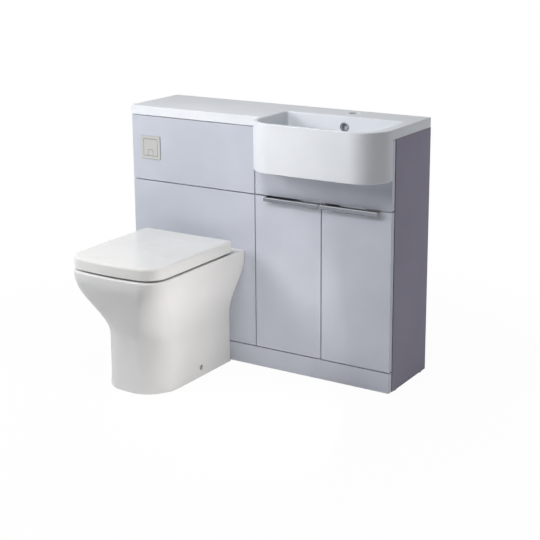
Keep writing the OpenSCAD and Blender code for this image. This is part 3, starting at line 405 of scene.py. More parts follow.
rounded("wall_brackets", "wall_bracket_set", 0.5 * MM, ZINC)
rounded("shelf_pegs", "shelf_peg_set", 0.6 * MM, ZINC)


# ---- Cistern and its plumbing ----
# The cistern is moulded of ABS, with ribs and a band that stiffen its walls. The flush valve is
# dyed acetal, the fill valve and the pipes are polypropylene, the nuts that clamp them are
# filled nylon, the cone is EPDM rubber, and the air hoses are soft PVC.

def moulded(name, shade, roughness, grain, depth):
    # Moulded polymer: one even dyed colour, a faint spark-eroded mould texture, soft highlights
    return finish(name, shade, roughness, dict(size=grain, depth=depth, detail=1.5), dict(
        size=14 * MM, dullness=(roughness - 0.05, roughness + 0.06), detail=3.0), IOR=1.5)


# Whites of three warmths and three grains, two strong dyes, a dark coarse nylon, a dull rubber
# and a soft grey hose with a smooth skin
ABS = moulded("abs_cistern_white", "#DCDDDA", 0.42, 1.4 * MM, 0.03 * MM)
POLYPROP = moulded("polypropylene_white", "#E4E5E4", 0.36, 1.2 * MM, 0.015 * MM)
NYLON = moulded("nylon_natural", "#DEDACB", 0.4, 1.0 * MM, 0.02 * MM)
BLUE = moulded("acetal_blue", "#3F6FB4", 0.33, 1.0 * MM, 0.015 * MM)
RED = moulded("acetal_red", "#C8452B", 0.33, 1.0 * MM, 0.015 * MM)
DARK = moulded("glass_filled_nylon_dark", "#3A3C40", 0.5, 0.9 * MM, 0.04 * MM)
RUBBER = moulded("epdm_rubber_black", "#1E1F21", 0.68, 0.8 * MM, 0.05 * MM)
HOSE = moulded("soft_pvc_grey", "#B5B9BC", 0.3, 2.0 * MM, 0.02 * MM)


def rib_tree():
    """Grip ribs: a thin round bar, repeated round a nut that stands along Z, and then placed."""
    tree, given = start_tree("grip_ribs", Nut="Geometry", Count="Int", Radius="Float", Rib_radius="Float",
                             Rib_length="Float", Centre="Vector", Tilt="Rotation", Finish="Material")
    circle = add(tree, "GeometryNodeMeshCircle", {"Vertices": given["Count"], "Radius": given["Radius"]})
    place = add(tree, "GeometryNodeInputPosition")
    outward = add(tree, "FunctionNodeAlignRotationToVector", {"Vector": place}, axis="X")
    rib = add(tree, "GeometryNodeMeshCylinder", {
        "Vertices": 8, "Radius": given["Rib radius"], "Depth": given["Rib length"]}, fill_type="NGON")
    copies = add(tree, "GeometryNodeInstanceOnPoints", {
        "Points": circle.outputs["Mesh"], "Instance": rib.outputs["Mesh"], "Rotation": outward})
    placed = add(tree, "GeometryNodeTransform", {
        "Geometry": copies, "Translation": given["Centre"], "Rotation": given["Tilt"]})
    both = add(tree, "GeometryNodeJoinGeometry", {"Geometry": placed})
    tree.links.new(given["Nut"], both.inputs["Geometry"])
    return end_tree(tree, both, given["Finish"])


RIBS = rib_tree()


def ribbed(piece, count, radius, length, place, material, tilt=(0, 0, 0)):
    """A nut with grip ribs of 1.2 mm radius round it. Its finish is the ribs' too."""
    return grow(piece, RIBS, Count=count, Radius=radius, Rib_radius=1.2 * MM, Rib_length=length,
                Centre=place, Tilt=tilt, Finish=material)


def centre(node):
    """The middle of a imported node's box."""
    low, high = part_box(node)
    return (low + high) / 2


tank_low, tank_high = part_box("cistern_tank")
tank = soften(as_object(merged("cistern_tank"), "cistern_body", ABS), 1.5 * MM)
rib_gap, rib_half, proud, band_in = (tank_high.x - tank_low.x) / 7, 2 * MM, 2.5 * MM, 3 * MM
rib_low, rib_high = tank_low.z + 14 * MM, tank_high.z - 26 * MM
for y in (tank_low.y, tank_high.y):
    combine(tank, "UNION", *[block((x - rib_half, y - proud, rib_low), (x + rib_half, y + proud, rib_high))
                             for x in (tank_low.x + k * rib_gap for k in range(1, 7))])
band = as_object(block((tank_low.x - proud, tank_low.y - proud, tank_high.z - 12 * MM),
                       (tank_high.x + proud, tank_high.y + proud, tank_high.z - 8 * MM)), "band")
soften(band, 18 * MM, 4)
combine(band, "DIFFERENCE", block((tank_low.x + band_in, tank_low.y + band_in, tank_high.z - 20 * MM),
                                  (tank_high.x - band_in, tank_high.y - band_in, tank_high.z)))
combine(tank, "UNION", band)
fix(tank, "cistern_tank")
rounded("cistern_lid", "cistern_cover", 1.4 * MM, ABS)

rounded("flush_valve", "flush_valve_cage", 0.6 * MM, BLUE)
rounded("flush_lifter", "flush_lifter_tube", 0.6 * MM, RED)
rounded("fill_valve", "fill_valve_body", 0.8 * MM, POLYPROP)
rounded("fill_float", "fill_float_cup", 1.2 * MM, POLYPROP)
rounded("flush_pipe", "flush_bend", 0.6 * MM, POLYPROP)
rounded("flush_cone", "flush_cone_seal", 0.4 * MM, RUBBER)
rounded("pan_connector", "soil_connector", 0.8 * MM, POLYPROP)

nuts = soften(as_object(merged("tank_nut"), "cistern_nuts", DARK), 0.6 * MM)
nut_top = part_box("tank_nut")[1].z
pipe_low, pipe_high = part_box("flush_pipe")
valve_x = (pipe_low.x + pipe_high.x) / 2
valve_y = pipe_high.y - (pipe_high.x - pipe_low.x) / 2
inlet_x = centre("fill_float").x
for count, radius, length, x, drop in ((24, 31.6, 10.5, valve_x, 6), (22, 28.6, 18, valve_x, 22),
                                       (12, 16.6, 7, inlet_x, 4)):
    ribbed(nuts, count, radius * MM, length * MM, (x, valve_y, nut_top - drop * MM), DARK)
fix(nuts, "tank_nut")


def hose_tree():
    """A tube that is swept through the points of a line, closed at its ends."""
    tree, given = start_tree("air_hose", Route="Geometry", Radius="Float", Step="Float", Finish="Material")
    line = add(tree, "GeometryNodeMeshToCurve", {"Mesh": given["Route"]})
    bent = add(tree, "GeometryNodeCurveSplineType", {"Curve": line}, spline_type="CATMULL_ROM")
    even = add(tree, "GeometryNodeResampleCurve", {"Curve": bent, "Length": given["Step"]}, mode="LENGTH")
    ring = add(tree, "GeometryNodeCurvePrimitiveCircle", {"Radius": given["Radius"], "Resolution": 20})
    tube = add(tree, "GeometryNodeCurveToMesh", {
        "Curve": even, "Profile Curve": ring.outputs["Curve"], "Fill Caps": True})
    return end_tree(tree, tube, given["Finish"])


HOSES = hose_tree()
plate_x, _, plate_z = centre("flush_plate")
full_low, full_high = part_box("full_button")
guide_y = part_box("button_housing")[1].y
nipple_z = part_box("cistern_lid")[1].z
lid_edge_z = nipple_z - 6 * MM
tank_y = tank_low.y
half_z = centre("half_button").z
press_z = plate_z + (full_high.x - full_low.x) / 4


def share(a, b, part):
    """The value that lies a part of the way from a to b."""
    return a + (b - a) * part


# Each hose leaves its button's guide, rises over the cistern's edge and drops on its nipple
hoses = bpy.data.meshes.new("air_hoses")
route = []
for k, (z, x) in enumerate(((half_z, valve_x - 10 * MM), (press_z, valve_x + 10 * MM))):
    over = lid_edge_z + (22 + 10 * k) * MM
    route += [(plate_x, guide_y, z), (plate_x + 4 * MM, guide_y + 14 * MM, z + 3 * MM),
              (share(plate_x, x, 0.15), tank_y - 24 * MM, share(z, over, 0.5)),
              (share(plate_x, x, 0.4), tank_y - 10 * MM, over),
              (share(plate_x, x, 0.7), share(tank_y, valve_y, 0.6), over + 4 * MM),
              (x - 14 * MM, valve_y - 2 * MM, over + 2 * MM),
              (x, valve_y, lid_edge_z + (16 + 4 * k) * MM), (x, valve_y, nipple_z)]
hoses.from_pydata(route, [(i, i + 1) for i in range(len(route) - 1) if i != len(route) // 2 - 1], [])
hoses = grow(as_object(hoses, "air_hose_pair"), HOSES, Radius=3.5 * MM, Step=4 * MM, Finish=HOSE)
fix(hoses, "flush_hoses")


# ---- Plinth, panels and fascia ----
# 18 mm MDF, cut, edge-rounded with a 1 mm radius and sprayed on all sides with a light grey
# satin lacquer. Nylon pads hold them off the boards' edges, and dark glides carry the boards.

# Satin two-pack lacquer, sprayed: an even cool grey with a soft wide highlight, and the
# faint orange peel of spraying, about 2.5 mm across and a few thousandths deep
LACQUER = finish("satin_lacquer_cool_grey", "#C3C7D2", 0.36,
                 dict(size=160 * MM, colours=("#C0C4CF", "#C6CAD5")),
                 dict(size=40 * MM, dullness=(0.33, 0.4), detail=3.0),
                 dict(size=2.5 * MM, depth=0.006 * MM, detail=1.0), IOR=1.5)
for node in ("plinth", "lower_panel", "upper_panel", "fascia"):
    rounded(node, node + "_front", 0.9 * MM, LACQUER, steps=3)
rounded("front_pads", "front_pad_set", 0.4 * MM, NYLON)
rounded("glides", "glide_set", 0.8 * MM, DARK)


# ---- Doors, hinges and handles ----
# The doors are made as the panels are, and are bored at the back for concealed hinges of
# zinc-plated steel. The pulls are bent from strip, chromed, and let in over the top edge.

# Bright chrome over polished nickel: near-mirror, a little blue, with fine wiping marks
CHROME = finish("polished_chrome", "#CDD0D4", 0.1,
                dict(size=6 * MM, dullness=(0.07, 0.15), detail=3.0),
                dict(size=25 * MM, depth=0.01 * MM, detail=1.0), Metallic=1.0)
# Satin chrome: brushed along the strip before plating, so highlights spread across it. Its dark
# grey is a painted reflection of a dim room, so that it reads darker than the panels. The lines are
# 0.1 mm apart on the real one, and are drawn 0.5 mm apart so that they show.
BRUSHED_DIM_REFLECTION = finish("brushed_satin_chrome_painted_dim_reflection", "#868A91", 0.2, dict(
    size=0.5 * MM, dullness=(0.16, 0.26), depth=0.004 * MM, stretch=(0.02, 1, 1)), Metallic=1.0)


def pull(node, name, bend=2.4 * MM, near=0.1 * MM):
    """A strip pull: brushed flat faces, and a round outer bend in brighter polished chrome, which is partly a
    painted highlight along the bend.
    """
    mesh = merged(node)
    low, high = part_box(node)
    corner = [e for e in mesh.edges
              if all(abs(v.co.y - low.y) < near and abs(v.co.z - high.z) < near for v in e.verts)]
    made = bmesh.ops.bevel(mesh, geom=corner, offset=bend, segments=6, profile=0.5, affect="EDGES")
    # The bend's faces take the brighter chrome: a painted highlight, added to the light that its round
    # catches.
    for face in made["faces"]:
        face.material_index = 1
    return fix(soften(as_object(mesh, name, BRUSHED_DIM_REFLECTION, CHROME), 0.45 * MM, 3), node)


for side in ("left", "right"):
    body = "door_" + side
    rounded(body, body + "_front", 0.9 * MM, LACQUER, steps=3)
    pull("handle_" + side, f"handle_{side}_pull")
    rounded("hinge_cups_" + side, f"hinge_{side}_cups", 0.4 * MM, ZINC)
    rounded("hinge_arms_" + side, f"hinge_{side}_arms", 0.5 * MM, ZINC)
    cup_low, cup_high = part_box("hinge_cups_" + side)
    arm_low, arm_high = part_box("hinge_arms_" + side)
    inward, board_x = (1, arm_low.x) if side == "left" else (-1, arm_high.x)
    flange_half, cup_pitch, plate_pitch, plate_t = 30 * MM, 24 * MM, 18 * MM, 3 * MM
    hinge_zs = (cup_low.z + flange_half, cup_high.z - flange_half)
    cup_x = centre("hinge_cups_" + side).x
    screws([((cup_x, cup_high.y, z + s * cup_pitch), (0, 1, 0)) for z in hinge_zs for s in (-1, 1)],
           8 * MM, f"hinge_{side}_cup_screws", body)
    screws([((board_x + inward * plate_t, arm_high.y - plate_pitch, z + s * plate_pitch), (inward, 0, 0))
            for z in hinge_zs for s in (-1, 1)], 8 * MM, f"hinge_{side}_plate_screws", "unit")


# ---- Worktop and basin ----
# Cast in one piece: polyester and marble dust, poured into a mould that was first sprayed with
# white gel coat. The mould rounds every edge, and the worktop is hollow below, beside the basin.

# Gel coat from a satin mould: a cool white with a soft wide sheen and a faint, slow waviness
GEL = finish("gel_coat_white", "#E8EBF0", 0.5,
             dict(size=140 * MM, colours=("#E6E9EE", "#EAEDF2")),
             dict(size=35 * MM, dullness=(0.46, 0.54), detail=3.0),
             dict(size=70 * MM, depth=0.03 * MM, detail=1.0), IOR=1.47, Specular_IOR_Level=0.15)
# The casting itself where no gel coat covers it: grey, dull and rough. Its dark grey is partly painted shade,
# for the depths of the tap hole and the hollow below
RAW_CAST_SHADE_DARK = moulded("polyester_cast_raw_painted_shade", "#85878B", 0.8, 1.5 * MM, 0.1 * MM)
SECTION = ("width", "back_width", "back", "front", "back_corner", "front_corner", "bow")

# The rule of a lofted form. A point's index gives its section and its step round the section:
# a corner's arc and the straight stretch after it, four times. Each line gives a name to what a
# Math node makes of the names and numbers behind its operation. A width is a half width, the
# front may bow out, and the back may be wider.
LOFT_RULE = """
    quarter = ADD corner_steps side_steps
    row = MULTIPLY_ADD quarter 4 1
    rows = DIVIDE index row
    section = FLOOR rows
    before = MULTIPLY section row
    step = SUBTRACT index before
    quarters = DIVIDE step quarter
    corner = FLOOR quarters
    past = MULTIPLY corner quarter
    local = SUBTRACT step past
    arc_part = DIVIDE local corner_steps
    arc = MINIMUM arc_part 1
    beyond = SUBTRACT local corner_steps
    on_side = MAXIMUM beyond 0
    side = DIVIDE on_side side_steps
    turns = ADD corner arc
    turned = SUBTRACT turns 1
    angle = MULTIPLY turned right_angle
    place = ADD corner side
    across_at = SUBTRACT place 0.5
    across_wave = PINGPONG across_at 2
    across_free = MULTIPLY_ADD across_wave -2 2
    across_top = MINIMUM across_free 1
    across = MAXIMUM across_top -1
    depth_at = SUBTRACT place 1.5
    depth_wave = PINGPONG depth_at 2
    depth_free = SUBTRACT 1.5 depth_wave
    depth_top = MINIMUM depth_free 1
    depth = MAXIMUM depth_top 0
    corner_change = SUBTRACT back_corner front_corner
    radius = MULTIPLY_ADD corner_change depth front_corner
    reach = SUBTRACT width radius
    cosine = COSINE angle
    sine = SINE angle
    arc_x = MULTIPLY radius cosine
    x = MULTIPLY_ADD across reach arc_x
    front_mid = ADD front front_corner
    back_mid = SUBTRACT back back_corner
    run = SUBTRACT back_mid front_mid
    along = MULTIPLY_ADD run depth front_mid
    y = MULTIPLY_ADD radius sine along
    length = SUBTRACT back front
    from_front = SUBTRACT y front
    part = DIVIDE from_front length
    ratio = DIVIDE back_width width
    flare = SUBTRACT ratio 1
    taper = MULTIPLY_ADD flare part 1
    tapered_x = MULTIPLY x taper
    relative = DIVIDE x width
    squared = MULTIPLY relative relative
    crown = SUBTRACT 1 squared
    front_half = MULTIPLY_ADD part -2 1
    ahead = MAXIMUM front_half 0
    swell = MULTIPLY crown ahead
    bulge = MULTIPLY swell bow
    bowed_y = SUBTRACT y bulge
"""


def loft_tree():
    """Lofts a skin through sections: each point of the input is one, with its sizes stored on it."""
    tree, given = start_tree("loft", Sections="Geometry", Corner_steps="Int", Side_steps="Int",
                             Finish="Material")
    count = add(tree, "GeometryNodeAttributeDomainSize", {"Geometry": given["Sections"]})
    terms = {"index": add(tree, "GeometryNodeInputIndex"), "right_angle": math.pi / 2,
             "corner_steps": given["Corner steps"], "side_steps": given["Side steps"]}
    at_section = []
    for key in SECTION:
        stored = add(tree, "GeometryNodeInputNamedAttribute", {"Name": key}, data_type="FLOAT")
        terms[key] = add(tree, "GeometryNodeSampleIndex", {
            "Geometry": given["Sections"], "Value": stored}, data_type="FLOAT")
        at_section.append(terms[key])
    place = add(tree, "GeometryNodeInputPosition")
    middle = add(tree, "GeometryNodeSampleIndex", {
        "Geometry": given["Sections"], "Value": place}, data_type="FLOAT_VECTOR")
    at_section.append(middle)
    for line in LOFT_RULE.strip().splitlines():
        name, _, operation, *parts = line.split()
        inputs = {k: terms[part] if part in terms else float(part) for k, part in enumerate(parts)}
        terms[name] = add(tree, "ShaderNodeMath", inputs, operation=operation)
    for sample in at_section:
        tree.links.new(terms["section"].outputs[0], sample.inputs["Index"])
    grid = add(tree, "GeometryNodeMeshGrid", {
        "Vertices X": count.outputs["Point Count"], "Vertices Y": terms["row"]})
    outline = add(tree, "ShaderNodeCombineXYZ", {"X": terms["tapered_x"], "Y": terms["bowed_y"]})
    point = add(tree, "ShaderNodeVectorMath", {0: outline, 1: middle}, operation="ADD")
    skin = add(tree, "GeometryNodeSetPosition", {"Geometry": grid.outputs["Mesh"], "Position": point})
    marked = add(tree, "GeometryNodeStoreNamedAttribute", {
        "Geometry": skin, "Name": "section", "Value": terms["section"]}, data_type="FLOAT")
    welded = add(tree, "GeometryNodeMergeByDistance", {"Geometry": marked, "Distance": 0.002 * MM})
    return end_tree(tree, welded, given["Finish"])


LOFT = loft_tree()


def loft(name, middle, rows, material, corner=14, side=8):
    """A closed solid through rows of (section, height), about a middle line at x = middle."""
    mesh = bpy.data.meshes.new(name)
    mesh.from_pydata([(middle, 0, z) for _, z in rows], [], [])
    for k, key in enumerate(SECTION):
        sizes = mesh.attributes.new(key, "FLOAT", "POINT")
        sizes.data.foreach_set("value", [float(section[k]) for section, _ in rows])
    piece = grow(as_object(mesh, name), LOFT, Corner_steps=corner, Side_steps=side, Finish=material)
    with editing(piece) as solid:
        bmesh.ops.holes_fill(solid, edges=[e for e in solid.edges if e.is_boundary], sides=0)
        bmesh.ops.recalc_face_normals(solid, faces=solid.faces)
    return piece


def inset(section, by, back=True):
    """A section drawn in on every side, or on all but its back."""
    width, back_width, rear, front, back_corner, front_corner, bow = section
    return np.array((width - by, back_width - by, rear - by * back, front + by,
                     max(2 * MM, back_corner - by * back), max(2 * MM, front_corner - by), bow))


def fillet(steps, start=0.0, end=math.pi / 2):
    """Angles through a rounded edge."""
    return [start + (end - start) * k / steps for k in range(steps + 1)]


def round_over(section, z, by, drop, count, back=True):
    """Rows round an edge, up to its level z: the first one is the whole section, lower by the
    drop, and the last one is drawn in by the other length."""
    return [(inset(section, by * (1 - math.cos(a)), back), z - drop * (1 - math.sin(a)))
            for a in fillet(count)]


def bar(start, end, radius, steps=48):
    """A round bar between two points, for cutting and joining."""
    start, end = Vector(start), Vector(end)
    turn = (end - start).to_track_quat("Z", "Y").to_matrix().to_4x4()
    mesh = bmesh.new()
    bmesh.ops.create_cone(mesh, cap_ends=True, segments=steps, radius1=radius, radius2=radius,
                          depth=(end - start).length, matrix=Matrix.Translation((start + end) / 2) @ turn)
    return mesh


top_low, top_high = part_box("basin_worktop")
board_low, board_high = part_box("vanity_side_left")
board_t, board_top = board_high.x - board_low.x, board_high.z
basin_r, basin_wall, basin_left = 98 * MM, 16 * MM, 20 * MM
clear, past = 2 * MM, 1 * MM  # room beside the boards, and how far a tool runs past a face
slab_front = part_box("fascia")[0].y - clear
waste_x, waste_y, _ = centre("waste_body")
bowl_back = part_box("overflow_ring")[0].y + 2.4 * MM
bowl_floor = top_low.z + 22 * MM

worktop = as_object(block((top_low.x, slab_front, board_top), top_high), "basin_worktop_cast", GEL)
corners = [(basin_left + basin_r, math.pi), (top_high.x - basin_r, 1.5 * math.pi)]
outline = [(x + basin_r * math.cos(a), top_low.y + basin_r + basin_r * math.sin(a))
           for x, start in corners for a in fillet(30, start, start + math.pi / 2)]
outline += [(top_high.x, slab_front + past), (basin_left, slab_front + past)]
combine(worktop, "UNION", prism(outline, top_low.z, top_high.z), block(
    (basin_left, slab_front - past / 2, top_low.z),
    (top_high.x - board_t - clear, bowl_back + basin_wall, top_high.z - 6 * MM)))
with editing(worktop) as mesh:
    bmesh.ops.dissolve_limit(mesh, angle_limit=math.radians(0.5), verts=mesh.verts, edges=mesh.edges)
soften(worktop, 2.5 * MM, 4)

# The bowl: its floor sweeps up to a wall that leans out a little, and its rim is rounded over
bowl_half, bowl_draft, sweep, edge = 214 * MM, 12 * MM, 34 * MM, 5 * MM
bowl_front, bowl_r = top_low.y + basin_wall, basin_r - basin_wall
bowl_top = np.array((bowl_half, bowl_half, bowl_back, bowl_front, 8 * MM, bowl_r, 0))
bowl_low = inset(bowl_top, bowl_draft, back=False)
bowl_rows = [(share(bowl_low, inset(bowl_low, sweep), 1 - math.cos(a)),
              bowl_floor + sweep * (1 - math.sin(a))) for a in reversed(fillet(14))]
bowl_rows += round_over(bowl_top, top_high.z, -edge, edge, 8)
bowl_rows.append((inset(bowl_top, -edge), top_high.z + past))
bowl = loft("bowl", waste_x, bowl_rows, GEL, corner=18, side=3)

# The tap hole is gel coated for its first few millimetres, and raw below them, where the raw casting's dark
# grey paints the shade deeper down
tap_r, tap_chamfer, gelled, deep = 17.5 * MM, 0.8 * MM, -5 * MM, -40 * MM
tap_hole = as_object(lathe([(tap_r, deep), (tap_r, gelled), (tap_r, -tap_chamfer),
                            (tap_r + tap_chamfer, 0.001 * MM), (tap_r + tap_chamfer, past)]),
                     "tap", GEL, RAW_CAST_SHADE_DARK)
for face in tap_hole.data.polygons:
    face.material_index = int(face.center.z < gelled)
tap_hole.data.transform(Matrix.Translation((top_high.x / 2, top_high.y - 50 * MM, top_high.z)))

overflow_z = centre("overflow_ring").z
waste_r, overflow_r, rim_in, slab_t = 21.2 * MM, 12.5 * MM, 20 * MM, 14 * MM
combine(worktop, "DIFFERENCE", bowl, tap_hole,
        bar((waste_x, waste_y, top_low.z - past), (waste_x, waste_y, bowl_floor + past), waste_r),
        as_object(block((top_low.x + board_t + clear, slab_front + rim_in, board_top - past),
                        (-board_t - clear, top_high.y - rim_in, top_high.z - slab_t)), "hollow", RAW_CAST_SHADE_DARK),
        as_object(bar((waste_x, bowl_back - past, overflow_z), (waste_x, bowl_back + 12 * MM, overflow_z),
                      overflow_r), "overflow_hole", GEL))
fix(worktop, "basin_worktop")


# ---- Basin waste and trap ----
# The ring, the waste and its plug are turned brass with chrome plate. The trap, its nuts and its
# pipe are moulded polypropylene, screwed up by hand, so the nuts have grip ribs.

rounded("overflow_ring", "overflow_trim", 0.4 * MM, CHROME, steps=3)
rounded("waste_body", "waste_flange", 0.4 * MM, CHROME, steps=3)
rounded("waste_plug", "waste_plug_cap", 0.5 * MM, CHROME, steps=3)
rounded("waste_pipe", "waste_tube", 0.3 * MM, POLYPROP)
rounded("trap_cup", "trap_cup_bowl", 0.6 * MM, POLYPROP)
pipe_y, pipe_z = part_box("waste_pipe")[0].y, centre("waste_pipe").z
for node, name, count, radius, length, y, z, tilt in (
        ("waste_nut", "waste_back_nut", 24, 31.6, 6, waste_y, centre("waste_nut").z, 0),
        ("trap_nut", "trap_top_nut", 24, 27.6, 22, waste_y, centre("trap_nut").z, 0),
        ("bottle_trap", "bottle_trap_upper", 20, 22.4, 18, pipe_y + 12 * MM, pipe_z, math.pi / 2)):
    nut = soften(as_object(merged(node), name, POLYPROP), 0.6 * MM)
    ribbed(nut, count, radius * MM, length * MM, (waste_x, y, z), POLYPROP, tilt=(tilt, 0, 0))
    fix(nut, node)


# ---- Flush plate and buttons ----
# A zinc die casting and its two buttons, plated in satin chrome. They sit in a housing moulded
# of ABS, which is let into the upper panel. The small half-flush button lies inside the large.

# Satin chrome on a blasted die casting: a pale even grey, its highlights spread wide
SATIN = finish("satin_chrome_casting", "#CDCECC", 0.42, dict(
    size=1.0 * MM, dullness=(0.38, 0.46), depth=0.004 * MM, detail=1.0), Metallic=1.0)
rounded("flush_plate", "flush_plate_cast", 1.2 * MM, SATIN, steps=4)
rounded("button_housing", "button_housing_frame", 0.4 * MM, ABS)
plate_y, set_back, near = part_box("flush_plate")[0].y, 0.3 * MM, 0.1 * MM
# The buttons' faces are set just behind the plate's, so that the gaps round them show
for node, name in (("full_button", "full_flush_button"), ("half_button", "half_flush_button")):
    mesh = merged(node)
    face_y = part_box(node)[0].y
    for point in mesh.verts:
        if abs(point.co.y - face_y) < near:
            point.co.y = plate_y + set_back
    fix(soften(as_object(mesh, name, SATIN), 0.5 * MM, 3), node)


# ---- Pan ----
# One piece of vitreous china, slip-cast with a hollow skirt, glazed and fired at 1200 degrees.
# The glaze covers what shows and stops at the foot and inside, where the body stays matt.
# Two blocks screwed to the floor hold it, and a plated cap closes each of its side holes.

# White glaze over vitreous china: warm white, glassy, with the slight ripple of a thick coat
CHINA = finish("glazed_vitreous_china", "#F1EFEA", 0.12,
               dict(size=110 * MM, colours=("#EFEDE7", "#F3F1EC")),
               dict(size=28 * MM, dullness=(0.09, 0.16), detail=3.0),
               dict(size=45 * MM, depth=0.05 * MM, detail=1.0),
               IOR=1.52, Coat_Weight=0.5, Coat_Roughness=0.06)
# Fired body without glaze: a dull, slightly rough off-white with faint speckle
BISCUIT = finish("unglazed_china_body", "#DDD8CC", 0.85, dict(
    size=2.2 * MM, colours=("#D5CFC1", "#E2DDD2"), depth=0.08 * MM, detail=4.0))
pan_low, pan_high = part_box("pan")
pan_x = (pan_low.x + pan_high.x) / 2
cabinet_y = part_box("lower_panel")[0].y
rim_z, pan_bow, china_wall = pan_high.z, 8 * MM, 11 * MM
trap_y = cabinet_y - 100 * MM
waist_z, shoulder_z = 170 * MM, rim_z - 17 * MM
throat_z, sump_z, rim_edge = rim_z - 52 * MM, 150 * MM, 7 * MM
rim_front = pan_low.y + pan_bow
# Sections hold their sizes in the order of SECTION
rim_section = np.array((172 * MM, 188 * MM, cabinet_y, rim_front, 3 * MM, 66 * MM, pan_bow))
foot_section = np.array((120 * MM, 124 * MM, cabinet_y, rim_front + 84 * MM, 3 * MM, 95 * MM, pan_bow))
mouth = np.array((116 * MM, 124 * MM, cabinet_y - 120 * MM, rim_front + 48 * MM, 58 * MM, 92 * MM, 4 * MM))
sump = np.array((50 * MM, 50 * MM, cabinet_y - 152 * MM, cabinet_y - 280 * MM, 40 * MM, 46 * MM, 0))


def skirt(z):
    """Outside of the pan at a height: a foot that spreads a little, and the flare to the rim."""
    part = min(1, max(0, (z - waist_z) / (shoulder_z - waist_z)))
    toe = 2.5 * MM * max(0, 1 - z / (60 * MM)) ** 2
    return inset(share(foot_section, rim_section, part * part * (3 - 2 * part)), -toe, back=False)


def bowl_at(z):
    """Inside of the pan's bowl at a height: upright below the rim, then a sweep to the sump."""
    part = min(1, max(0, (throat_z - z) / (throat_z - sump_z)))
    return share(mouth, sump, 1 - math.cos(math.pi / 2 * part))


def under_bowl(z):
    """Back of the bowl's wall at a height, which ends behind in the flat that the pipes meet."""
    width, back_width, _, front, _, corner, bow = inset(bowl_at(z), -china_wall)
    return np.array((width, back_width, trap_y, front, 3 * MM, corner, bow))


def levels(start, end, count):
    """Even steps from a start to an end."""
    return [share(start, end, k / count) for k in range(count + 1)]


# The shell's rows run up under the bowl to its deck, down inside the skirt, up its outside,
# over the rim and down the bowl to the sump
deck_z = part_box("pan_horn")[1].z + 0.5 * MM
sump_round = 26 * MM
inside = [(under_bowl(z), z) for z in levels(sump_z - 12 * MM, deck_z, 12)]
inside += [(inset(skirt(z), china_wall), z) for z in levels(deck_z, 0, 12)]
outside = [(skirt(z), z) for z in levels(1.2 * MM, 60 * MM, 8) + levels(80 * MM, waist_z, 4)]
outside += [(skirt(z), z) for z in levels(waist_z, rim_z - rim_edge, 30)[1:]]
outside += round_over(skirt(rim_z), rim_z, rim_edge, rim_edge, 6, back=False)[1:]
inner = round_over(mouth, rim_z, -rim_edge, rim_edge, 8)[::-1]
inner += [(bowl_at(z), z) for z in levels(throat_z, sump_z + sump_round, 22)]
floor_edge = bowl_at(sump_z + sump_round)
inner += [(inset(share(floor_edge, sump, 1 - math.cos(a)), sump_round * 0.8 * (1 - math.cos(a))),
           sump_z + sump_round * (1 - math.sin(a))) for a in fillet(7)[1:]]
pan = loft("pan_shell", pan_x, inside + [(skirt(0), 0)] + outside + inner, CHINA, corner=16, side=12)
pan.data.materials.append(BISCUIT)
ring = pan.data.attributes["section"]
for face in pan.data.polygons:
    level = sum(ring.data[v].value for v in face.vertices) / len(face.vertices)
    face.material_index = 1 if level < len(inside) + 0.6 else 0

caps_low, caps_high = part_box("side_caps")
_, cap_y, cap_z = centre("side_caps")
hinge_half, back_in = 77.5 * MM, foot_section[0] - 22 * MM
post_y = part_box("seat_posts")[0].y + 15 * MM
post_xs = (pan_x - hinge_half, pan_x + hinge_half)
horn_z = centre("pan_horn").z
outlet_r, inlet_r, cap_hole_r, post_hole_r = 36 * MM, 24 * MM, 8.5 * MM, 7 * MM
outlet_from, outlet_to = (pan_x, cabinet_y - 200 * MM, 192 * MM), (pan_x, cabinet_y - 118 * MM, 214 * MM)
# The open back, the side holes, the outlet's mouth in the sump, the inlet's way and the post holes
tools = [block((pan_x - back_in, cabinet_y - china_wall - 4 * MM, -past),
               (pan_x + back_in, cabinet_y + past, deck_z)),
         bar((pan_low.x, cap_y, cap_z), (pan_high.x, cap_y, cap_z), cap_hole_r),
         bar(outlet_from, outlet_to, outlet_r),
         bar((pan_x, cabinet_y - 135 * MM, horn_z), (pan_x, trap_y + 31 * MM, horn_z), inlet_r)]
tools += [bar((x, post_y, deck_z - past), (x, post_y, rim_z + 9 * MM), post_hole_r) for x in post_xs]
combine(pan, "UNION", *[as_object(merged(node), "cast", BISCUIT) for node in ("pan_spigot", "pan_horn")])
combine(pan, "DIFFERENCE", *[as_object(tool, "cut", BISCUIT) for tool in tools])
pan.name = "pan_china"
fix(pan, "pan", "pan_spigot", "pan_horn")

rounded("floor_fixings", "floor_fixing_blocks", 0.8 * MM, NYLON)
dome = [(0.5 * math.cos(a), 0.05 + 0.26 * math.sin(a)) for a in fillet(9)]
cap_dome = as_object(lathe([(0.44, -0.4), (0.44, 0), (0.5, 0)] + dome, 48), "cap_dome")
caps = screws([((x, cap_y, cap_z), (out, 0, 0)) for x, out in ((caps_low.x, -1), (caps_high.x, 1))],
              19 * MM, "side_cap_pair", "unit", cap_dome, BRUSHED_DIM_REFLECTION)
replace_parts(caps, "side_caps")
bpy.data.objects.remove(cap_dome)
fixing_low, fixing_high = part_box("floor_fixings")
foot_t, screw_in = 6 * MM, 18 * MM
screws([((x, centre("floor_fixings").y, foot_t), (0, 0, 1))
        for x in (fixing_low.x + screw_in, fixing_high.x - screw_in)], 14 * MM, "floor_fixing_screws", "unit")
bpy.data.objects.remove(HEAD)


# ---- Seat and lid ----
# Pressed from thermoset urea resin, with a soft-edged lid over a ring that stands on four
# buffers. Both turn on pins through two satin-chromed posts, which are bolted to the pan.

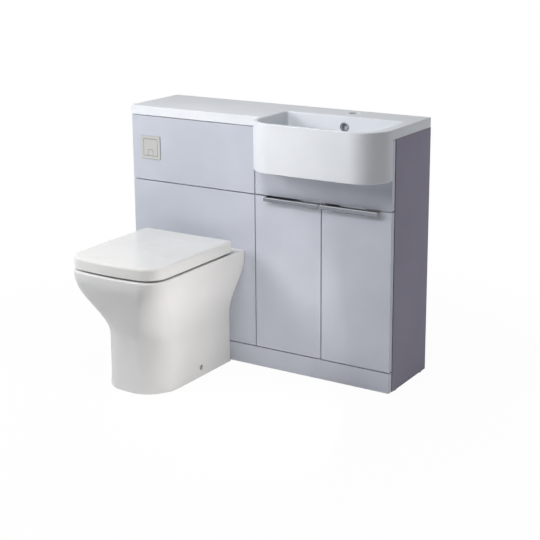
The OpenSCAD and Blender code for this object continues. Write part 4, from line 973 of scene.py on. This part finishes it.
# Pressed urea resin: a dense, clean white, glossy but softer than the glaze beside it
UREA = finish("pressed_urea_white", "#E9E9E7", 0.2,
              dict(size=130 * MM, colours=("#E7E7E5", "#EBEBE9")),
              dict(size=24 * MM, dullness=(0.17, 0.25), detail=3.0),
              dict(size=1.6 * MM, depth=0.004 * MM, detail=1.0), IOR=1.54)
rounded("seat_posts", "seat_hinge_posts", 0.6 * MM, BRUSHED_DIM_REFLECTION, steps=3)
rounded("seat_buffers", "seat_buffer_set", 1.2 * MM, RUBBER)
lid_low, lid_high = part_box("lid")
lid_wall, lid_edge, lid_t, lid_bow = 4.5 * MM, 9 * MM, 4.5 * MM, 16 * MM
lid_front = lid_low.y + lid_bow
lid_section = np.array((174 * MM, 178 * MM, lid_high.y, lid_front, 10 * MM, 60 * MM, lid_bow))
hinge_y, hinge_z, pin_r = lid_high.y - 15 * MM, rim_z + 20 * MM, 4 * MM
roof_z, lip_r, crown = lid_high.z - lid_t, 1.2 * MM, 1 * MM
lug_w, lug_r, post_half, play = 10 * MM, 8 * MM, 7 * MM, 0.5 * MM


def lugs(xs, low, high):
    """Hinge eyes round the pin, each with the web that joins it to its parent."""
    made = []
    for x in xs:
        eye = as_object(bar((x, hinge_y, hinge_z), (x + lug_w, hinge_y, hinge_z), lug_r), "lug", UREA)
        made.append(combine(eye, "UNION", block((x, *low), (x + lug_w, *high))))
    return made


def pin_holes(xs):
    """Tools that bore the eyes for the pin."""
    return [bar((x - past, hinge_y, hinge_z), (x + lug_w + past, hinge_y, hinge_z), pin_r + 0.1 * MM)
            for x in xs]


inner_xs = (post_xs[0] + post_half + play, post_xs[1] - post_half - play - lug_w)
outer_xs = (post_xs[0] - post_half - play - lug_w, post_xs[1] + post_half + play)

# The ring: a small round below, a larger one above, then the seat's dip and the inner edge
seat_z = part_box("seat_ring")[0].z
seat_top, foot_r, ring_r = seat_z + 16 * MM, 1.5 * MM, 7 * MM
inner_r, inner_drop, dip = 12 * MM, 11 * MM, 3 * MM
ring_out = np.array((165 * MM, 169 * MM, hinge_y - 14 * MM, lid_front + 9 * MM, 34 * MM, 54 * MM, lid_bow))
ring_in = np.array((102 * MM, 102 * MM, cabinet_y - 142 * MM, lid_front + 68 * MM, 70 * MM, 92 * MM, 6 * MM))
seat_rows = round_over(ring_out, seat_z, foot_r, -foot_r, 3)[::-1]
seat_rows += round_over(ring_out, seat_top, ring_r, ring_r, 8)
seat_rows += [(share(inset(ring_out, ring_r), inset(ring_in, -inner_r), part),
               seat_top - (0.5 + part) * part * MM) for part in (0.2, 0.4, 0.6, 0.8)]
seat_rows += round_over(ring_in, seat_top - dip, -inner_r, inner_drop, 10)[::-1]
seat_rows += [(ring_in, seat_z), seat_rows[0]]
seat = loft("seat_ring_pressed", pan_x, seat_rows, UREA, corner=16, side=10)
combine(seat, "UNION", *lugs(inner_xs, (hinge_y - 20 * MM, seat_z + 2 * MM), (hinge_y, hinge_z)))
combine(seat, "DIFFERENCE", *pin_holes(inner_xs))
fix(seat, "seat_ring")

# The lid, from the middle of its underside round the lip to the crown of its top
lid_rows = [(inset(lid_section, 40 * MM), roof_z), (inset(lid_section, 14 * MM), roof_z - crown)]
lid_rows += round_over(inset(lid_section, lid_wall), roof_z - crown, 6 * MM, 6 * MM, 5)[::-1]
lid_rows += [(inset(lid_section, lid_wall - by), lid_low.z + up) for by, up in ((0, 1 * MM), (0.8 * MM, 0))]
lid_rows += round_over(lid_section, lid_low.z, lip_r, -lip_r, 4)[::-1]
lid_rows += round_over(lid_section, lid_high.z - crown, lid_edge, lid_edge, 10)
lid_rows += [(inset(lid_section, by * MM), lid_high.z - drop * MM)
             for by, drop in ((16, 0.82), (26, 0.58), (45, 0.26), (70, 0.08), (95, 0))]
lid = loft("lid_pressed", pan_x, lid_rows, UREA, corner=16, side=10)
combine(lid, "UNION", *lugs(outer_xs, (hinge_y - lug_r, hinge_z), (hinge_y + lug_r, roof_z + past)))
# Slots let the lid turn past its posts, and a step in its rear edge clears the pan's deck
room, side = post_half + 1.5 * MM, 10 * MM
slots = [block((x - room, hinge_y + 5 * MM, lid_low.z - past),
               (x + room, lid_high.y + past, hinge_z + 14 * MM)) for x in post_xs]
slots.append(block((lid_low.x - side, hinge_y + lug_r, lid_low.z - past),
                   (lid_high.x + side, lid_high.y + past, lid_low.z + 6 * MM)))
combine(lid, "DIFFERENCE", *pin_holes(outer_xs), *slots)
fix(lid, "lid")


# ---- Studio ----
# A seamless white floor in a dim room, under one strong soft lamp at the front left and weaker
# ones overhead, over the basin, low beside the pan, at the right and behind. The camera stands
# about where the photograph's did.

def seen_rays(tree):
    """1 for what the eye, gloss or glass sees, and 0 for what lights the object."""
    ray = add(tree, "ShaderNodeLightPath").outputs
    seen = add(tree, "ShaderNodeMath", {
        0: ray["Is Camera Ray"], 1: ray["Is Glossy Ray"]}, operation="MAXIMUM")
    return add(tree, "ShaderNodeMath", {0: seen, 1: ray["Is Transmission Ray"]}, operation="MAXIMUM")


def seamless():
    # White paper that is lit from behind: nearly full white to the eye and to gloss, and wholly so
    # far from the object. What is left of it takes the object's shadow.
    material = bpy.data.materials.new("seamless_white_paper")
    material.use_nodes = True
    tree = material.node_tree
    tree.nodes.clear()
    place = add(tree, "ShaderNodeTexCoord").outputs["Object"]
    away = add(tree, "ShaderNodeVectorMath", {0: place}, operation="LENGTH").outputs["Value"]
    blank = add(tree, "ShaderNodeMapRange", {
        "Value": away, "From Min": 0.6, "From Max": 1.7, "To Min": 0.965, "To Max": 1.0})
    share_lit = add(tree, "ShaderNodeMath", {0: seen_rays(tree), 1: blank}, operation="MULTIPLY")
    paper = add(tree, "ShaderNodeBsdfDiffuse", {"Color": linear("#F0F0F0")})
    white = add(tree, "ShaderNodeEmission", {"Color": (1, 1, 1, 1), "Strength": 1.0})
    mixed = add(tree, "ShaderNodeMixShader", {"Fac": share_lit, 1: paper, 2: white})
    add(tree, "ShaderNodeOutputMaterial", {"Surface": mixed})
    return material


floor_half = 30.0
floor = block((-floor_half, -floor_half, -20 * MM), (floor_half, floor_half, -0.5 * MM))
as_object(floor, "floor", seamless())

world = bpy.data.worlds.new("dim_room")
world.use_nodes = True
bpy.context.scene.world = world
tree = world.node_tree
tree.nodes.clear()
room = add(tree, "ShaderNodeBackground", {"Color": linear("#EEF1F8"), "Strength": 0.07})
white = add(tree, "ShaderNodeBackground", {"Color": (1, 1, 1, 1), "Strength": 1.0})
mixed = add(tree, "ShaderNodeMixShader", {"Fac": seen_rays(tree), 1: room, 2: white})
add(tree, "ShaderNodeOutputWorld", {"Surface": mixed})


def lamp(name, place, aim, width, height, power, shade="#FFFFFF"):
    """A soft lamp that itself isn't seen."""
    light = bpy.data.lights.new(name, "AREA")
    light.shape, light.size, light.size_y = "RECTANGLE", width, height
    light.energy, light.color = power, linear(shade)[:3]
    housing = bpy.data.objects.new(name, light)
    housing.visible_camera = housing.visible_glossy = False
    bpy.context.scene.collection.objects.link(housing)
    turned = (Vector(aim) - Vector(place)).to_track_quat("-Z", "Y")
    housing.matrix_world = Matrix.Translation(place) @ turned.to_matrix().to_4x4()


lamp("near_left_softbox", (-1.3, -1.2, 1.5), (-0.45, 0.1, 0.7), 0.7, 0.7, 23.3)
lamp("overhead_softbox", (0.0, -0.2, 3.2), (0, 0.1, 0.5), 2.4, 2.0, 10.5)
lamp("basin_lamp", (0.08, -0.78, 1.62), (0.25, -0.02, 0.8), 0.4, 0.3, 7.1)
lamp("low_side_lamp", (0.50, -0.25, 0.28), (-0.3, -0.60, 0.2), 0.4, 0.4, 1.95, "#FFFAF4")
lamp("right_softbox", (2.3, 1.3, 1.1), (0.5, 0.2, 0.6), 1.0, 1.0, 13)
lamp("back_softbox", (-0.6, 2.4, 1.6), (0.0, 0.2, 0.5), 1.4, 1.4, 7)

turn, rise, roll = math.radians(32.15), math.radians(13.99), math.radians(-0.38)
back = Vector((math.sin(turn) * math.cos(rise), -math.cos(turn) * math.cos(rise), math.sin(rise)))
right = Vector((math.cos(turn), math.sin(turn), 0))
up = back.cross(right)
axes = Matrix((right * math.cos(roll) + up * math.sin(roll),
               up * math.cos(roll) - right * math.sin(roll), back))
photo_pixels, focal_pixels, sensor = 540, 1239.4, 36
place = (2.141, -3.203, 1.506)
view = bpy.data.cameras.new("camera")
view.sensor_width, view.lens = sensor, focal_pixels / photo_pixels * sensor
view.shift_y, view.clip_end = -0.1, 100
camera = bpy.data.objects.new("camera", view)
bpy.context.scene.collection.objects.link(camera)
camera.matrix_world = Matrix.Translation(place) @ axes.transposed().to_4x4()
bpy.context.scene.camera = camera
bpy.context.scene.view_settings.view_transform = "Standard"
